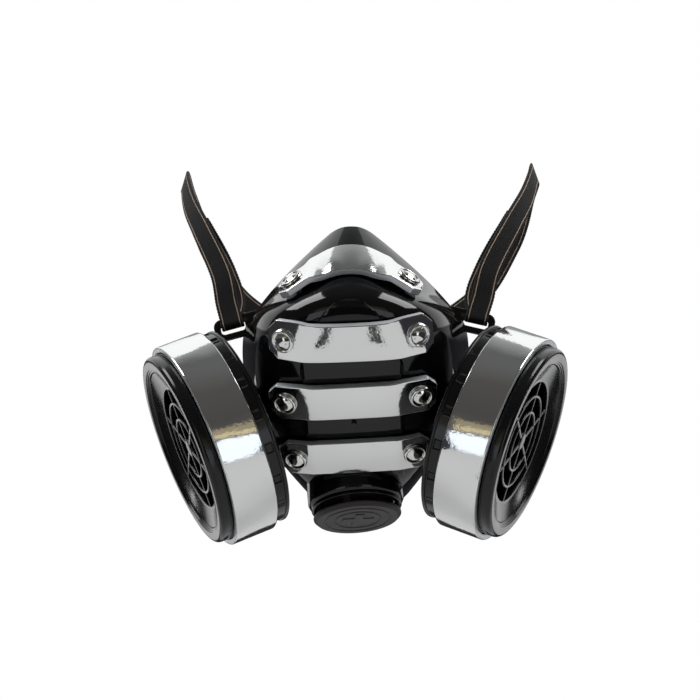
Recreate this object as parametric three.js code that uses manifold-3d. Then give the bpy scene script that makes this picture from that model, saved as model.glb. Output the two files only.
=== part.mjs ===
// A costume respirator of the cyber kind: a glossy half mask with four chrome strips riveted
// across its front, a chrome-banded filter canister on each cheek, an outlet valve under the
// chin and an elastic head strap. Millimetres, +Z up, the mask looks along -Y, and the origin
// is the point of the rim that sits on the bridge of the nose.
import * as THREE from 'three';
import { mergeVertices } from 'three/addons/utils/BufferGeometryUtils.js';
import Module from 'manifold-3d';

const wasm = await Module();
wasm.setup();

// Driving dimensions

const gap = 0.3;               // clearance between pieces that touch
const shellWall = 2.0;         // wall of the moulded half mask
const shellHeight = 129;       // nose bridge to the lowest point of the chin rim
const shellHalfWidth = 52;     // widest half width of the rim, at the cheeks
const shellDepth = 92;         // nose tip to the rearmost point of the rim

const panelHalfWidth = 21.5;   // raised flat panel on the front
const panelTop = 34;           // depth below the nose bridge where the panel starts
const panelTaper = 28;         // height of the pointed top of the panel
const panelTaperPower = 0.44;
const panelRise = 1.1;         // how far the panel stands out of the shell
const panelFoot = 15;          // lower edge of the panel above the lowest point of the chin rim
const panelBottom = shellHeight - panelFoot;
const panelBevel = 0.9;
const pinRadius = 1.2;         // moulded pip on the panel
const pinRise = 1.3;
const pinSides = 8;

const stripWidth = 18.2;
const stripThickness = 3.2;
const stripLift = 0.5;         // air between a strip and the shell
const stripChamfer = 4.2;
const rivetInset = 7.4;        // rivet centre to the end of its strip
const rivetRadius = 5.4;
const rivetDomeRadius = 3.9;
const rivetHeight = 2.4;
const rivetEdge = 0.6;
const rivetRing = 1.3;         // height of the raised ring round the dome
const rivetShankRadius = 1.7;
const rivetTailRadius = 2.8;
const rivetTail = 0.9;
const rivetTailGap = 0.8;
const rivetHoleDepth = 16;
const rivetSides = 8;
const roundSides = 20;
const bossSides = 12;

const canisterRadius = 44.9;   // black plastic body
const canisterWall = 2.0;
const canisterBandWidth = 20.2;
const canisterBandThickness = 2.8;
const canisterFlangeRise = 1.3;
const canisterFlangeWidth = 2.2;
const collarWidth = 5.0;       // grip collar between the flange and the chrome band
const collarRise = 0.6;
const collarSlots = 18;
const collarSlotWidth = 3.6;
const collarSlotDepth = 0.8;
const collarSlotMargin = 1.0;
const canisterSweep = 18.3;    // degrees the canister's axis turns forward from sideways
const canisterDroop = 19.2;    // degrees it turns down
const neckRadius = 13.5;
const neckWall = 2.2;
const neckLength = 6.5;
const bossWall = 2.4;          // boss of the shell that holds the neck
const bossDepth = 9;           // how far the boss is carried into the wall of the shell

const coverHeight = 6.2;       // black rim that stands out of the chrome band
const coverEdgeRound = 2.2;
const coverFaceWidth = 7.0;    // front of the rim, from the outside to the opening
const coverLip = 0.8;
const dishSlopeWidth = 7.9;
const grilleSink = 4.0;        // face of the rim down to the grille
const grilleThickness = 2.0;
const grilleRingCount = 3;
const grillePitch = 7.7;
const grilleRib = 1.5;
const grilleSpokes = 6;
const grilleHub = 4.4;
const spigotLength = 3.3;
const spigotWall = 1.6;

const valveDroop = 66.5;       // degrees its axis points below straight ahead
const valveCant = 5;           // degrees it leans over, seen from the front
const valveHousingRadius = 22.3;
const valveHousingWall = 2.2;
const valveHousingReach = 32;  // how far the housing is carried up before the shell cuts it off
const valveFloor = 1.8;
const valveCapStep = 1.9;      // the cap is narrower than the housing
const valveCapHeight = 6.5;
const valveCapWall = 2.0;
const valveCapBevel = 1.6;
const valveWindows = 8;
const valveWindowShare = 0.8;  // share of each pitch that is open
const valveWindowMargin = 1.2;
const valveBore = 12.5;
const reliefRise = 0.35;       // rings and plus moulded on the cap
const reliefLine = 0.8;
const reliefShares = [0.54, 0.78];
const plusReach = 7.4;
const plusArm = 4.2;

const lugThickness = 2.6;
const lugBar = 3.0;            // bar that the strap turns round
const lugSlotHeight = 4.6;
const lugSlotClearance = 1.2;  // slot length over the strap's width
const lugCorner = 2.6;
const lugSlotCorner = 1.8;
const lugRoot = 12;            // length carried into the wall of the shell
const cutLength = 36;          // length of the tools that cut right through a wall
const lugTilt = 14;            // degrees the bar slopes down towards its outer end
const lugLean = 12;            // degrees the plate leans back

const strapWidth = 10.6;
const strapThickness = 1.2;
const strapHalfSpan = 84.5;    // widest half width of the loop behind the head
const strapDepth = 145;        // lugs back to the nape
const strapRise = 68;          // lugs up to the highest point
const strapSway = 3;           // how far the free loop hangs over to the right
const strapSewnShare = 0.34;   // where the doubled end is sewn down, as a share of the route

// Where the other pieces sit on the shell: across as a share of shellHalfWidth, back as a share of
// shellDepth and below as a share of shellHeight. The canister's place is the middle of its band's
// back edge, the valve's is the middle of its face and the lug's is the middle of its bar.
const seats = {
  canister: { across: 1.0692, back: 0.0978, below: 0.7116 },
  valve:    { across: 0.0000, back: 0.2391, below: 1.0434 },
  lug:      { across: 1.1058, back: 0.3587, below: 0.3178 },
};
const pinHeightShare = 0.6822;   // depth of the pip below the nose bridge, as a share of shellHeight

// Cross sections of the mask, nose to chin. y and z place the middle of the section, lean is its
// angle, back and up, from level. Each pair of columns is a distance from the mid plane, as a
// share of shellHalfWidth, and a depth back from the middle, as a share of shellDepth. y is a
// share of shellDepth and z of shellHeight.
const shellSections = [
  //  y      z      lean   flatX  flatD  kneeX  kneeD  turnX  turnD  cheekX cheekD rimX   rimD
  [  0.000,  0.000, -48,   0.070, 0.004, 0.120, 0.018, 0.155, 0.032, 0.185, 0.046, 0.210, 0.062],
  [ -0.110, -0.050, -22,   0.090, 0.006, 0.170, 0.028, 0.240, 0.060, 0.320, 0.105, 0.390, 0.160],
  [ -0.240, -0.125, -16,   0.110, 0.006, 0.270, 0.065, 0.440, 0.170, 0.580, 0.280, 0.710, 0.420],
  [ -0.365, -0.200, -12,   0.130, 0.006, 0.340, 0.080, 0.560, 0.230, 0.750, 0.420, 0.890, 0.660],
  [ -0.485, -0.270,  -6,   0.170, 0.004, 0.440, 0.055, 0.680, 0.190, 0.870, 0.440, 0.990, 0.850],
  [ -0.395, -0.400,  -1,   0.300, 0.002, 0.520, 0.026, 0.750, 0.110, 0.910, 0.390, 1.030, 0.860],
  [ -0.275, -0.515,   2,   0.340, 0.002, 0.560, 0.022, 0.780, 0.085, 0.910, 0.330, 1.030, 0.770],
  [ -0.145, -0.635,   5,   0.350, 0.002, 0.570, 0.022, 0.780, 0.080, 0.890, 0.280, 0.990, 0.670],
  [  0.000, -0.755,  10,   0.350, 0.002, 0.560, 0.022, 0.740, 0.075, 0.830, 0.230, 0.920, 0.540],
  [  0.115, -0.865,  14,   0.330, 0.002, 0.490, 0.018, 0.630, 0.070, 0.710, 0.200, 0.790, 0.430],
  [  0.270, -0.945,  15,   0.270, 0.004, 0.370, 0.015, 0.460, 0.060, 0.540, 0.150, 0.600, 0.270],
  [  0.520, -1.010,  40,   0.200, 0.002, 0.270, 0.008, 0.340, 0.020, 0.400, 0.050, 0.450, 0.090],
];

// Chrome strips, nose to chin: depth of the middle below the nose bridge as a share of shellHeight,
// slope of the strip's plane in degrees (up as it goes back), cant in degrees (up to the right) and
// half length along the shell as a share of shellHalfWidth.
const stripTable = [
  { name: 'nose_strip',   below: 0.1364, slope: -74, cant: 0.2, reach: 0.6442 },
  { name: 'upper_strip',  below: 0.3969, slope: 22,  cant: 1.4, reach: 0.6885 },
  { name: 'middle_strip', below: 0.5953, slope: 25,  cant: 2.6, reach: 0.7096 },
  { name: 'lower_strip',  below: 0.7907, slope: 29,  cant: 2.8, reach: 0.6423 },
];
const strips = stripTable.map((strip) => ({
  ...strip,
  below: strip.below * shellHeight,
  reach: strip.reach * shellHalfWidth,
}));

// Route of the strap's middle line on the right side, from the lug to the nape, which the left side
// mirrors. x is near times the lug's distance across and wide times strapHalfSpan together, y runs
// back from the lug as a share of strapDepth, z up from it as a share of strapRise, and the last
// three columns point across the strap.
const strapRoute = [
  // near wide   back    up     acrossX acrossY acrossZ
  [1.04, 0.00, -0.005,  0.12,   0.97,  0.02, -0.24],
  [1.09, 0.00,  0.010,  0.31,   0.95,  0.16, -0.28],
  [0.60, 0.46,  0.069,  0.63,   0.82,  0.46, -0.36],
  [0.25, 0.78,  0.138,  0.82,   0.60,  0.66, -0.46],
  [0.00, 1.00,  0.241,  1.00,   0.30,  0.72, -0.62],
  [0.00, 0.99,  0.400,  0.90,   0.06,  0.52, -0.85],
  [0.00, 0.90,  0.600,  0.53,  -0.02,  0.56, -0.83],
  [0.00, 0.71,  0.810,  0.15,   0.00,  0.45, -0.89],
  [0.00, 0.39,  0.950, -0.07,   0.00,  0.20, -0.98],
  [0.00, 0.00,  1.000, -0.13,   0.00,  0.00, -1.00],
];
// The doubled end behind it, from the lug up towards the seam, in the same columns.
const strapReturn = [
  [0.99, 0.00,  0.045,  0.13,   0.97,  0.02, -0.24],
  [0.98, 0.06,  0.080,  0.32,   0.95,  0.16, -0.28],
  [0.55, 0.46,  0.118,  0.58,   0.82,  0.46, -0.36],
];

// Materials

const glossBlack = new THREE.MeshStandardMaterial({ color: 0x0c0d0f, roughness: 0.12 });
const satinBlack = new THREE.MeshStandardMaterial({ color: 0x17181a, roughness: 0.38 });
const mirrorFilm = new THREE.MeshStandardMaterial({ color: 0xdfe1e2, roughness: 0.07, metalness: 1.0 });
const chromeMetal = new THREE.MeshStandardMaterial({ color: 0xe6e6e4, roughness: 0.05, metalness: 1.0 });
const wovenBlack = new THREE.MeshStandardMaterial({ color: 0x1d1a1b, roughness: 0.85 });

// Solids

const radians = THREE.MathUtils.degToRad;

function solidFrom(geometry) {
  const bare = geometry.clone();
  bare.deleteAttribute('normal');
  bare.deleteAttribute('uv');
  const merged = mergeVertices(bare, 1e-4);
  return new wasm.Manifold(new wasm.Mesh({
    numProp: 3,
    vertProperties: new Float32Array(merged.attributes.position.array),
    triVerts: new Uint32Array(merged.index.array),
  }));
}

function geometryFrom(solid) {
  const mesh = solid.getMesh();
  const geometry = new THREE.BufferGeometry();
  geometry.setAttribute('position', new THREE.BufferAttribute(new Float32Array(mesh.vertProperties), 3));
  geometry.setIndex(new THREE.BufferAttribute(new Uint32Array(mesh.triVerts), 1));
  geometry.computeVertexNormals();
  return geometry;
}

function geometryFromLists(points, triangles) {
  const geometry = new THREE.BufferGeometry();
  const numbers = points.flatMap((p) => [p.x, p.y, p.z]);
  geometry.setAttribute('position', new THREE.Float32BufferAttribute(numbers, 3));
  geometry.setIndex(triangles.flat());
  return geometry;
}

// A closed body through a row of four-cornered rings, with a flat cap on each end.
function loftRings(rings) {
  const sides = rings[0].length;
  const triangles = [];
  for (let i = 0; i + 1 < rings.length; i++) {
    for (let j = 0; j < sides; j++) {
      const a = i * sides + j;
      const b = i * sides + (j + 1) % sides;
      triangles.push([a, b, b + sides], [a, b + sides, a + sides]);
    }
  }
  const last = (rings.length - 1) * sides;
  for (let j = 1; j + 1 < sides; j++) {
    triangles.push([0, j + 1, j], [last, last + j, last + j + 1]);
  }
  return geometryFromLists(rings.flat(), triangles);
}

function lathe(profile, sides) {
  const points = profile.map(([r, h]) => new THREE.Vector2(r, h));
  return new THREE.LatheGeometry(points, sides).rotateX(Math.PI / 2);
}

function cylinder(radius, from, to, sides) {
  return lathe([[0, from], [radius, from], [radius, to], [0, to]], sides);
}

function placed(geometry, matrix) {
  return solidFrom(geometry.clone().applyMatrix4(matrix));
}

// The frame at a point whose z axis is the given direction.
function frameAlong(origin, direction, upHint = new THREE.Vector3(0, 0, 1)) {
  const z = direction.clone().normalize();
  const x = new THREE.Vector3().crossVectors(upHint, z).normalize();
  const y = new THREE.Vector3().crossVectors(z, x);
  return new THREE.Matrix4().makeBasis(x, y, z).setPosition(origin);
}

// Mask shell

// Weights of a clamped uniform cubic B-spline with the given number of control points.
function splineWeights(count, t) {
  const knots = [];
  for (let i = 0; i < count + 4; i++) {
    knots.push(Math.min(Math.max(i - 3, 0), count - 3));
  }
  const x = Math.min(Math.max(t, 0), 1) * (count - 3) * (1 - 1e-9);
  let weights = knots.slice(0, -1).map((k, i) => (x >= k && x < knots[i + 1] ? 1 : 0));
  for (let degree = 1; degree <= 3; degree++) {
    weights = weights.slice(0, -1).map((w, i) => {
      const left = knots[i + degree] - knots[i];
      const right = knots[i + degree + 1] - knots[i + 1];
      return (left ? w * (x - knots[i]) / left : 0)
        + (right ? weights[i + 1] * (knots[i + degree + 1] - x) / right : 0);
    });
  }
  return weights;
}

function sectionPoints([y, z, lean, ...pairs]) {
  const right = [];
  for (let i = 0; i < pairs.length; i += 2) {
    const depth = pairs[i + 1] * shellDepth;
    right.push(new THREE.Vector3(
      pairs[i] * shellHalfWidth,
      y * shellDepth + depth * Math.cos(radians(lean)),
      z * shellHeight + depth * Math.sin(radians(lean)),
    ));
  }
  const middle = new THREE.Vector3(0, y * shellDepth, z * shellHeight);
  const left = right.map((p) => new THREE.Vector3(-p.x, p.y, p.z)).reverse();
  return [...left, middle, ...right];
}

const shellNet = shellSections.map(sectionPoints);

// u runs across the mask from -1 to 1, v from the nose to the chin.
function shellPoint(u, v) {
  const across = splineWeights(shellNet[0].length, (u + 1) / 2);
  const down = splineWeights(shellNet.length, v);
  const point = new THREE.Vector3();
  shellNet.forEach((row, i) => {
    if (down[i]) row.forEach((p, j) => point.addScaledVector(p, down[i] * across[j]));
  });
  return point;
}

function shellNormal(u, v) {
  const step = 1e-3;
  const u0 = Math.max(u - step, -1);
  const u1 = Math.min(u + step, 1);
  const v0 = Math.max(v - step, 0);
  const v1 = Math.min(v + step, 1);
  const across = shellPoint(u1, v).sub(shellPoint(u0, v));
  const down = shellPoint(u, v1).sub(shellPoint(u, v0));
  return new THREE.Vector3().crossVectors(down, across).normalize();
}

// The value between low and high where a rising function passes zero.
function solve(rising, low, high) {
  for (let i = 0; i < 40; i++) {
    const middle = (low + high) / 2;
    if (rising(middle) < 0) low = middle;
    else high = middle;
  }
  return (low + high) / 2;
}

function panelEdge(z) {
  const below = -z - panelTop;
  if (below <= 0) return 0;
  return panelHalfWidth * Math.min(1, (below / panelTaper) ** panelTaperPower);
}

function panelEdgeU(v) {
  const width = panelEdge(shellPoint(0, v).z);
  return solve((u) => shellPoint(u, v).x - width, 0, 0.9);
}

function panelRiseAt(u, v) {
  const below = -shellPoint(0, v).z;
  const inside = below > panelTop && below < panelBottom && Math.abs(u) <= panelEdgeU(v);
  return inside ? panelRise : 0;
}

function heightShare(below) {
  return solve((v) => -shellPoint(0, v).z - below, 0, 1);
}

const shellRows = 12;
const panelColumns = 2;
const flankColumns = 6;
const narrowestPanelShare = 0.06;
const closestRowShare = 0.004;

function shellRowShares() {
  const shares = [];
  for (let i = 0; i <= shellRows; i++) shares.push(i / shellRows);
  for (const below of [panelTop, panelTop + panelBevel, panelBottom - panelBevel, panelBottom]) {
    shares.push(heightShare(below));
  }
  shares.sort((a, b) => a - b);
  return shares.filter((v, i) => i === 0 || v - shares[i - 1] > closestRowShare);
}

// Rows of points a distance outside the moulded surface. Columns follow the edge of the panel.
function shellGrid(offset, withPanel) {
  return shellRowShares().map((v) => {
    const edge = Math.max(panelEdgeU(v), narrowestPanelShare);
    const foot = edge + panelBevel / shellHalfWidth;
    const below = -shellPoint(0, v).z;
    const raised = withPanel && below > panelTop + panelBevel / 2 && below < panelBottom - panelBevel / 2;
    const half = [];
    for (let j = 0; j <= panelColumns; j++) half.push([edge * j / panelColumns, raised ? panelRise : 0]);
    for (let j = 0; j <= flankColumns; j++) half.push([foot + (1 - foot) * j / flankColumns, 0]);
    const mirrored = half.slice(1).reverse().map(([u, rise]) => [-u, rise]);
    return [...mirrored, ...half].map(
      ([u, rise]) => shellPoint(u, v).addScaledVector(shellNormal(u, v), offset + rise),
    );
  });
}

function closedSheet(outer, inner) {
  const rows = outer.length;
  const columns = outer[0].length;
  const back = rows * columns;
  const at = (i, j) => i * columns + j;
  const triangles = [];
  const quad = (a, b, c, d) => triangles.push([a, b, c], [a, c, d]);
  for (let i = 0; i + 1 < rows; i++) {
    for (let j = 0; j + 1 < columns; j++) {
      quad(at(i, j), at(i + 1, j), at(i + 1, j + 1), at(i, j + 1));
      quad(back + at(i, j), back + at(i, j + 1), back + at(i + 1, j + 1), back + at(i + 1, j));
    }
    const end = columns - 1;
    quad(at(i, 0), back + at(i, 0), back + at(i + 1, 0), at(i + 1, 0));
    quad(at(i, end), at(i + 1, end), back + at(i + 1, end), back + at(i, end));
  }
  for (let j = 0; j + 1 < columns; j++) {
    const end = rows - 1;
    quad(at(0, j), at(0, j + 1), back + at(0, j + 1), back + at(0, j));
    quad(at(end, j), back + at(end, j), back + at(end, j + 1), at(end, j + 1));
  }
  return geometryFromLists([...outer.flat(), ...inner.flat()], triangles);
}

// Everything behind a sheet of the shell, which trims what is joined to the shell.
function spaceBehind(grid) {
  const far = 2 * shellDepth;
  const back = grid.map((row) => row.map((p) => new THREE.Vector3(p.x, far, p.z)));
  return solidFrom(closedSheet(grid, back));
}

// Places of the other pieces

const sides = [['left', -1], ['right', 1]];

function seatPoint({ across, back, below }, sign) {
  return new THREE.Vector3(sign * across * shellHalfWidth, back * shellDepth, -below * shellHeight);
}

function canisterFrame(sign) {
  const sweep = radians(canisterSweep);
  const droop = radians(canisterDroop);
  const axis = new THREE.Vector3(
    sign * Math.cos(droop) * Math.cos(sweep),
    -Math.cos(droop) * Math.sin(sweep),
    -Math.sin(droop),
  );
  return frameAlong(seatPoint(seats.canister, sign), axis);
}

function valveFrame() {
  const droop = radians(valveDroop);
  const axis = new THREE.Vector3(0, -Math.cos(droop), -Math.sin(droop));
  axis.applyAxisAngle(new THREE.Vector3(0, -1, 0), radians(valveCant));
  return frameAlong(seatPoint(seats.valve, 1), axis);
}

// x runs along the bar towards the right, y up across it and z forward, from the bar's middle.
function lugFrame(sign) {
  const tilt = radians(lugTilt);
  const lean = radians(lugLean);
  const x = new THREE.Vector3(Math.cos(tilt), 0, -sign * Math.sin(tilt));
  const y = new THREE.Vector3(
    sign * Math.sin(tilt) * Math.cos(lean),
    Math.sin(lean),
    Math.cos(tilt) * Math.cos(lean),
  );
  const z = new THREE.Vector3().crossVectors(x, y);
  return new THREE.Matrix4().makeBasis(x, y.crossVectors(z, x), z)
    .setPosition(seatPoint(seats.lug, sign));
}

// Chrome strips

const cloudSteps = 90;
const shellCloud = [];
for (let i = 0; i <= cloudSteps; i++) {
  for (let j = 0; j <= cloudSteps; j++) {
    const u = 2 * j / cloudSteps - 1;
    const v = i / cloudSteps;
    shellCloud.push(shellPoint(u, v).addScaledVector(shellNormal(u, v), panelRiseAt(u, v)));
  }
}

const stripSteps = 6;
const routeSteps = 60;
const routeEndShare = 0.93;    // last share across the shell that a strip can reach
const stripFootprint = 3.0;    // stretch of shell that holds up one section of a strip

// The line where a strip's sloping plane crosses one side of the shell, with the run from the middle.
function stripLine({ below, slope, cant }, sign) {
  const middle = shellPoint(0, heightShare(below));
  const rise = Math.tan(radians(slope));
  const tip = Math.tan(radians(cant));
  const line = [];
  for (let i = 0; i <= routeSteps; i++) {
    const u = sign * routeEndShare * i / routeSteps;
    const v = solve((t) => {
      const p = shellPoint(u, t);
      return rise * (p.y - middle.y) + tip * p.x - (p.z - middle.z);
    }, 0, 1);
    const point = shellPoint(u, v);
    const last = line[line.length - 1];
    line.push({ u, v, point, run: last ? last.run + point.distanceTo(last.point) : 0 });
  }
  return line;
}

// Middle point, directions along, across and out of the strip, and the height that clears the
// shell under a footprint round it.
function stripSection(line, run, sign, footprint) {
  const after = Math.max(1, line.findIndex((p) => p.run >= run));
  const a = line[after - 1];
  const b = line[after];
  const share = (run - a.run) / (b.run - a.run);
  const u = THREE.MathUtils.lerp(a.u, b.u, share);
  const v = THREE.MathUtils.lerp(a.v, b.v, share);
  const out = shellNormal(u, v);
  const along = b.point.clone().sub(a.point).normalize().multiplyScalar(sign);
  const across = new THREE.Vector3().crossVectors(out, along).normalize();
  const normal = new THREE.Vector3().crossVectors(along, across);
  const middle = shellPoint(u, v);
  let height = 0;
  for (const p of shellCloud) {
    const d = p.clone().sub(middle);
    if (Math.abs(d.dot(along)) < footprint && Math.abs(d.dot(across)) < stripWidth / 2 + gap) {
      height = Math.max(height, d.dot(normal));
    }
  }
  return { run, middle, along, across, normal, height };
}

// Sections from the middle of a strip to one end. The stretch under the rivet is flat.
function stripSections(strip, sign) {
  const line = stripLine(strip, sign);
  const flatStart = strip.reach - 2 * rivetInset;
  const bent = [];
  for (let i = 0; i < stripSteps; i++) {
    bent.push(stripSection(line, flatStart * i / stripSteps, sign, stripFootprint));
  }
  const seat = stripSection(line, strip.reach - rivetInset, sign, rivetInset);
  const flat = [flatStart, strip.reach - stripChamfer, strip.reach].map((run) => ({
    ...seat,
    run,
    middle: seat.middle.clone().addScaledVector(seat.along, sign * (run - seat.run)),
    height: seat.height + stripLift,
  }));
  const heights = [...bent, seat].map((section) => section.height);
  bent.forEach((section, i) => {
    section.height = Math.max(...heights.slice(Math.max(i - 1, 0), i + 2)) + stripLift;
  });
  return [...bent, ...flat];
}

function stripPoint(section, across, rise) {
  return section.middle.clone()
    .addScaledVector(section.across, across)
    .addScaledVector(section.normal, section.height + rise);
}

function stripGeometry(strip, left, right) {
  const rings = [...left.slice(1).reverse(), ...right].map((section) => {
    const past = Math.max(0, section.run - (strip.reach - stripChamfer));
    const half = stripWidth / 2 - past;
    return [
      stripPoint(section, -half, 0),
      stripPoint(section, half, 0),
      stripPoint(section, half, stripThickness),
      stripPoint(section, -half, stripThickness),
    ];
  });
  return loftRings(rings);
}

// The top of a strip's flat end where its rivet goes through, with z out of the strip.
function rivetPlace(strip, sections) {
  const end = sections[sections.length - 1];
  const start = sections[sections.length - 3];
  const origin = stripPoint(start, 0, stripThickness).lerp(stripPoint(end, 0, stripThickness), 0.5);
  return { frame: frameAlong(origin, end.normal), height: end.height };
}

function rivetGeometry(height) {
  const shankEnd = -(stripThickness + height + shellWall + rivetTailGap);
  const tail = shankEnd - rivetTail;
  return lathe([
    [0, tail],
    [rivetTailRadius, tail],
    [rivetTailRadius, shankEnd],
    [rivetShankRadius, shankEnd],
    [rivetShankRadius, gap],
    [rivetRadius, gap],
    [rivetRadius - rivetEdge, gap + rivetRing],
    [rivetDomeRadius + rivetEdge / 2, gap + rivetRing],
    [rivetDomeRadius, gap + rivetEdge],
    [0, rivetHeight],
  ], rivetSides);
}

// Mask shell with its bosses, lugs and holes

function ringSector(inner, outer, from, to, steps) {
  const shape = new THREE.Shape();
  shape.absarc(0, 0, outer, from[1], to[1], false);
  shape.absarc(0, 0, inner, to[0], from[0], true);
  shape.closePath();
  return new THREE.ExtrudeGeometry(shape, { depth: 1, bevelEnabled: false, curveSegments: steps });
}

function roundedRectangle(x0, y0, x1, y1, radius) {
  const shape = new THREE.Shape();
  shape.absarc(x1 - radius, y0 + radius, radius, -Math.PI / 2, 0, false);
  shape.absarc(x1 - radius, y1 - radius, radius, 0, Math.PI / 2, false);
  shape.absarc(x0 + radius, y1 - radius, radius, Math.PI / 2, Math.PI, false);
  shape.absarc(x0 + radius, y0 + radius, radius, Math.PI, 1.5 * Math.PI, false);
  return shape;
}

function plate(shape, thickness) {
  return new THREE.ExtrudeGeometry(shape, { depth: thickness, bevelEnabled: false, curveSegments: 4 })
    .translate(0, 0, -thickness / 2);
}

const slotHalf = (strapWidth + lugSlotClearance) / 2;

// The lug's plate, or the slot in it, from the bar's middle. The slot hangs under the bar.
function lugSolid(sign, isSlot) {
  const frame = lugFrame(sign);
  const slotTop = -lugBar / 2;
  const slotFoot = slotTop - lugSlotHeight;
  if (isSlot) {
    const slot = roundedRectangle(-slotHalf, slotFoot, slotHalf, slotTop, lugSlotCorner);
    return placed(plate(slot, 2 * lugSlotHeight), frame);
  }
  const outer = slotHalf + lugBar;
  const inner = -slotHalf - lugRoot;
  const [x0, x1] = sign > 0 ? [inner, outer] : [-outer, -inner];
  const outline = roundedRectangle(x0, slotFoot - lugBar, x1, lugBar / 2, lugCorner);
  return placed(plate(outline, lugThickness), frame);
}

const canisterBack = collarWidth + canisterFlangeWidth;
const stripParts = strips.map((strip) => {
  const [left, right] = sides.map(([, sign]) => stripSections(strip, sign));
  const rivets = [
    { side: 'left', ...rivetPlace(strip, left) },
    { side: 'right', ...rivetPlace(strip, right) },
  ];
  return { strip, left, right, rivets };
});

function rivetHole(frame) {
  return placed(cylinder(rivetShankRadius + gap, -rivetHoleDepth, rivetHeight, rivetSides), frame);
}

function buildShell() {
  const core = spaceBehind(shellGrid(-shellWall / 2, false));
  let shell = solidFrom(closedSheet(shellGrid(0, true), shellGrid(-shellWall, false)));
  for (const [, sign] of sides) {
    const frame = canisterFrame(sign);
    const bossEnd = -canisterBack - gap;
    const bossFoot = bossEnd - bossDepth;
    const boss = placed(cylinder(neckRadius + gap + bossWall, bossFoot, bossEnd, bossSides), frame);
    const bore = placed(cylinder(neckRadius + gap, bossEnd - cutLength, bossEnd + gap, roundSides), frame);
    shell = shell.add(boss.subtract(core)).subtract(bore);
    shell = shell.add(lugSolid(sign, false).subtract(core)).subtract(lugSolid(sign, true));
  }
  const outlet = cylinder(valveBore, -valveHousingReach, -valveCapHeight, bossSides);
  shell = shell.subtract(placed(outlet, valveFrame()));
  for (const { rivets } of stripParts) {
    for (const { frame } of rivets) shell = shell.subtract(rivetHole(frame));
  }
  const pinAt = heightShare(pinHeightShare * shellHeight);
  const pinOrigin = shellPoint(0, pinAt);
  const pin = cylinder(pinRadius, -shellWall / 2, panelRise + pinRise, pinSides);
  return shell.add(placed(pin, frameAlong(pinOrigin, shellNormal(0, pinAt))));
}

// Canister pieces, with z out of the mask along the canister's axis and zero at the back edge of
// the chrome band

function canisterBodyGeometry() {
  const flange = canisterRadius + canisterFlangeRise;
  const collar = canisterRadius + collarRise;
  const inside = canisterRadius - canisterWall;
  const bore = neckRadius - neckWall;
  const neckEnd = -canisterBack - neckLength;
  const floor = -canisterBack + canisterWall;
  const profile = [
    [bore, neckEnd], [neckRadius, neckEnd], [neckRadius, -canisterBack], [flange, -canisterBack],
    [flange, -collarWidth], [collar, -collarWidth], [collar, -gap], [canisterRadius, -gap],
    [canisterRadius, canisterBandWidth], [inside, canisterBandWidth], [inside, floor], [bore, floor],
    [bore, neckEnd],
  ];
  let body = solidFrom(lathe(profile, roundSides));
  const slotLength = collarWidth - 2 * collarSlotMargin;
  const slot = new THREE.BoxGeometry(2 * collarSlotDepth, collarSlotWidth, slotLength)
    .translate(collar, 0, -collarWidth / 2);
  for (let i = 0; i < collarSlots; i++) {
    const turn = new THREE.Matrix4().makeRotationZ(2 * Math.PI * (i + 0.5) / collarSlots);
    body = body.subtract(placed(slot, turn));
  }
  return geometryFrom(body);
}

function canisterBandGeometry() {
  const inside = canisterRadius + gap;
  const outside = inside + canisterBandThickness;
  const profile = [
    [inside, 0], [outside, 0],
    [outside, canisterBandWidth], [inside, canisterBandWidth],
    [inside, 0],
  ];
  return geometryFrom(solidFrom(lathe(profile, roundSides)));
}

function filterCoverGeometry() {
  const foot = canisterBandWidth + gap;
  const face = canisterBandWidth + coverHeight;
  const opening = canisterRadius - coverFaceWidth;
  const dish = opening - dishSlopeWidth;
  const grilleFace = face - grilleSink;
  const grilleBack = grilleFace - grilleThickness;
  const spigot = canisterRadius - canisterWall - gap;
  const round = coverEdgeRound;
  const bevel = round * (1 - Math.SQRT1_2);
  const profile = [
    [0, grilleBack], [dish + grilleThickness / 2, grilleBack],
    [spigot - spigotWall, foot], [spigot - spigotWall, canisterBandWidth - spigotLength],
    [spigot, canisterBandWidth - spigotLength], [spigot, foot],
    [canisterRadius, foot], [canisterRadius, face - round],
    [canisterRadius - bevel, face - bevel], [canisterRadius - round, face],
    [opening, face], [opening, face - coverLip],
    [dish, grilleFace], [0, grilleFace],
  ];
  let cover = solidFrom(lathe(profile, roundSides));
  for (let ring = 0; ring < grilleRingCount; ring++) {
    const outer = dish - grilleRib - (grilleRingCount - 1 - ring) * grillePitch;
    const inner = ring === 0 ? grilleHub : outer - grillePitch + grilleRib;
    for (let spoke = 0; spoke < grilleSpokes; spoke++) {
      const pitch = 2 * Math.PI / grilleSpokes;
      const start = Math.PI / 2 + spoke * pitch;
      const turn = (radius) => Math.asin(grilleRib / 2 / radius);
      const from = [start + turn(inner), start + turn(outer)];
      const to = [start + pitch - turn(inner), start + pitch - turn(outer)];
      const gapSector = ringSector(inner, outer, from, to, ring + 1);
      gapSector.scale(1, 1, coverHeight).translate(0, 0, grilleBack - grilleThickness);
      cover = cover.subtract(solidFrom(gapSector));
    }
  }
  return geometryFrom(cover);
}

// Outlet valve, with z along its axis and zero at the face of the cap

const valveCapRadius = valveHousingRadius - valveCapStep;

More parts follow.
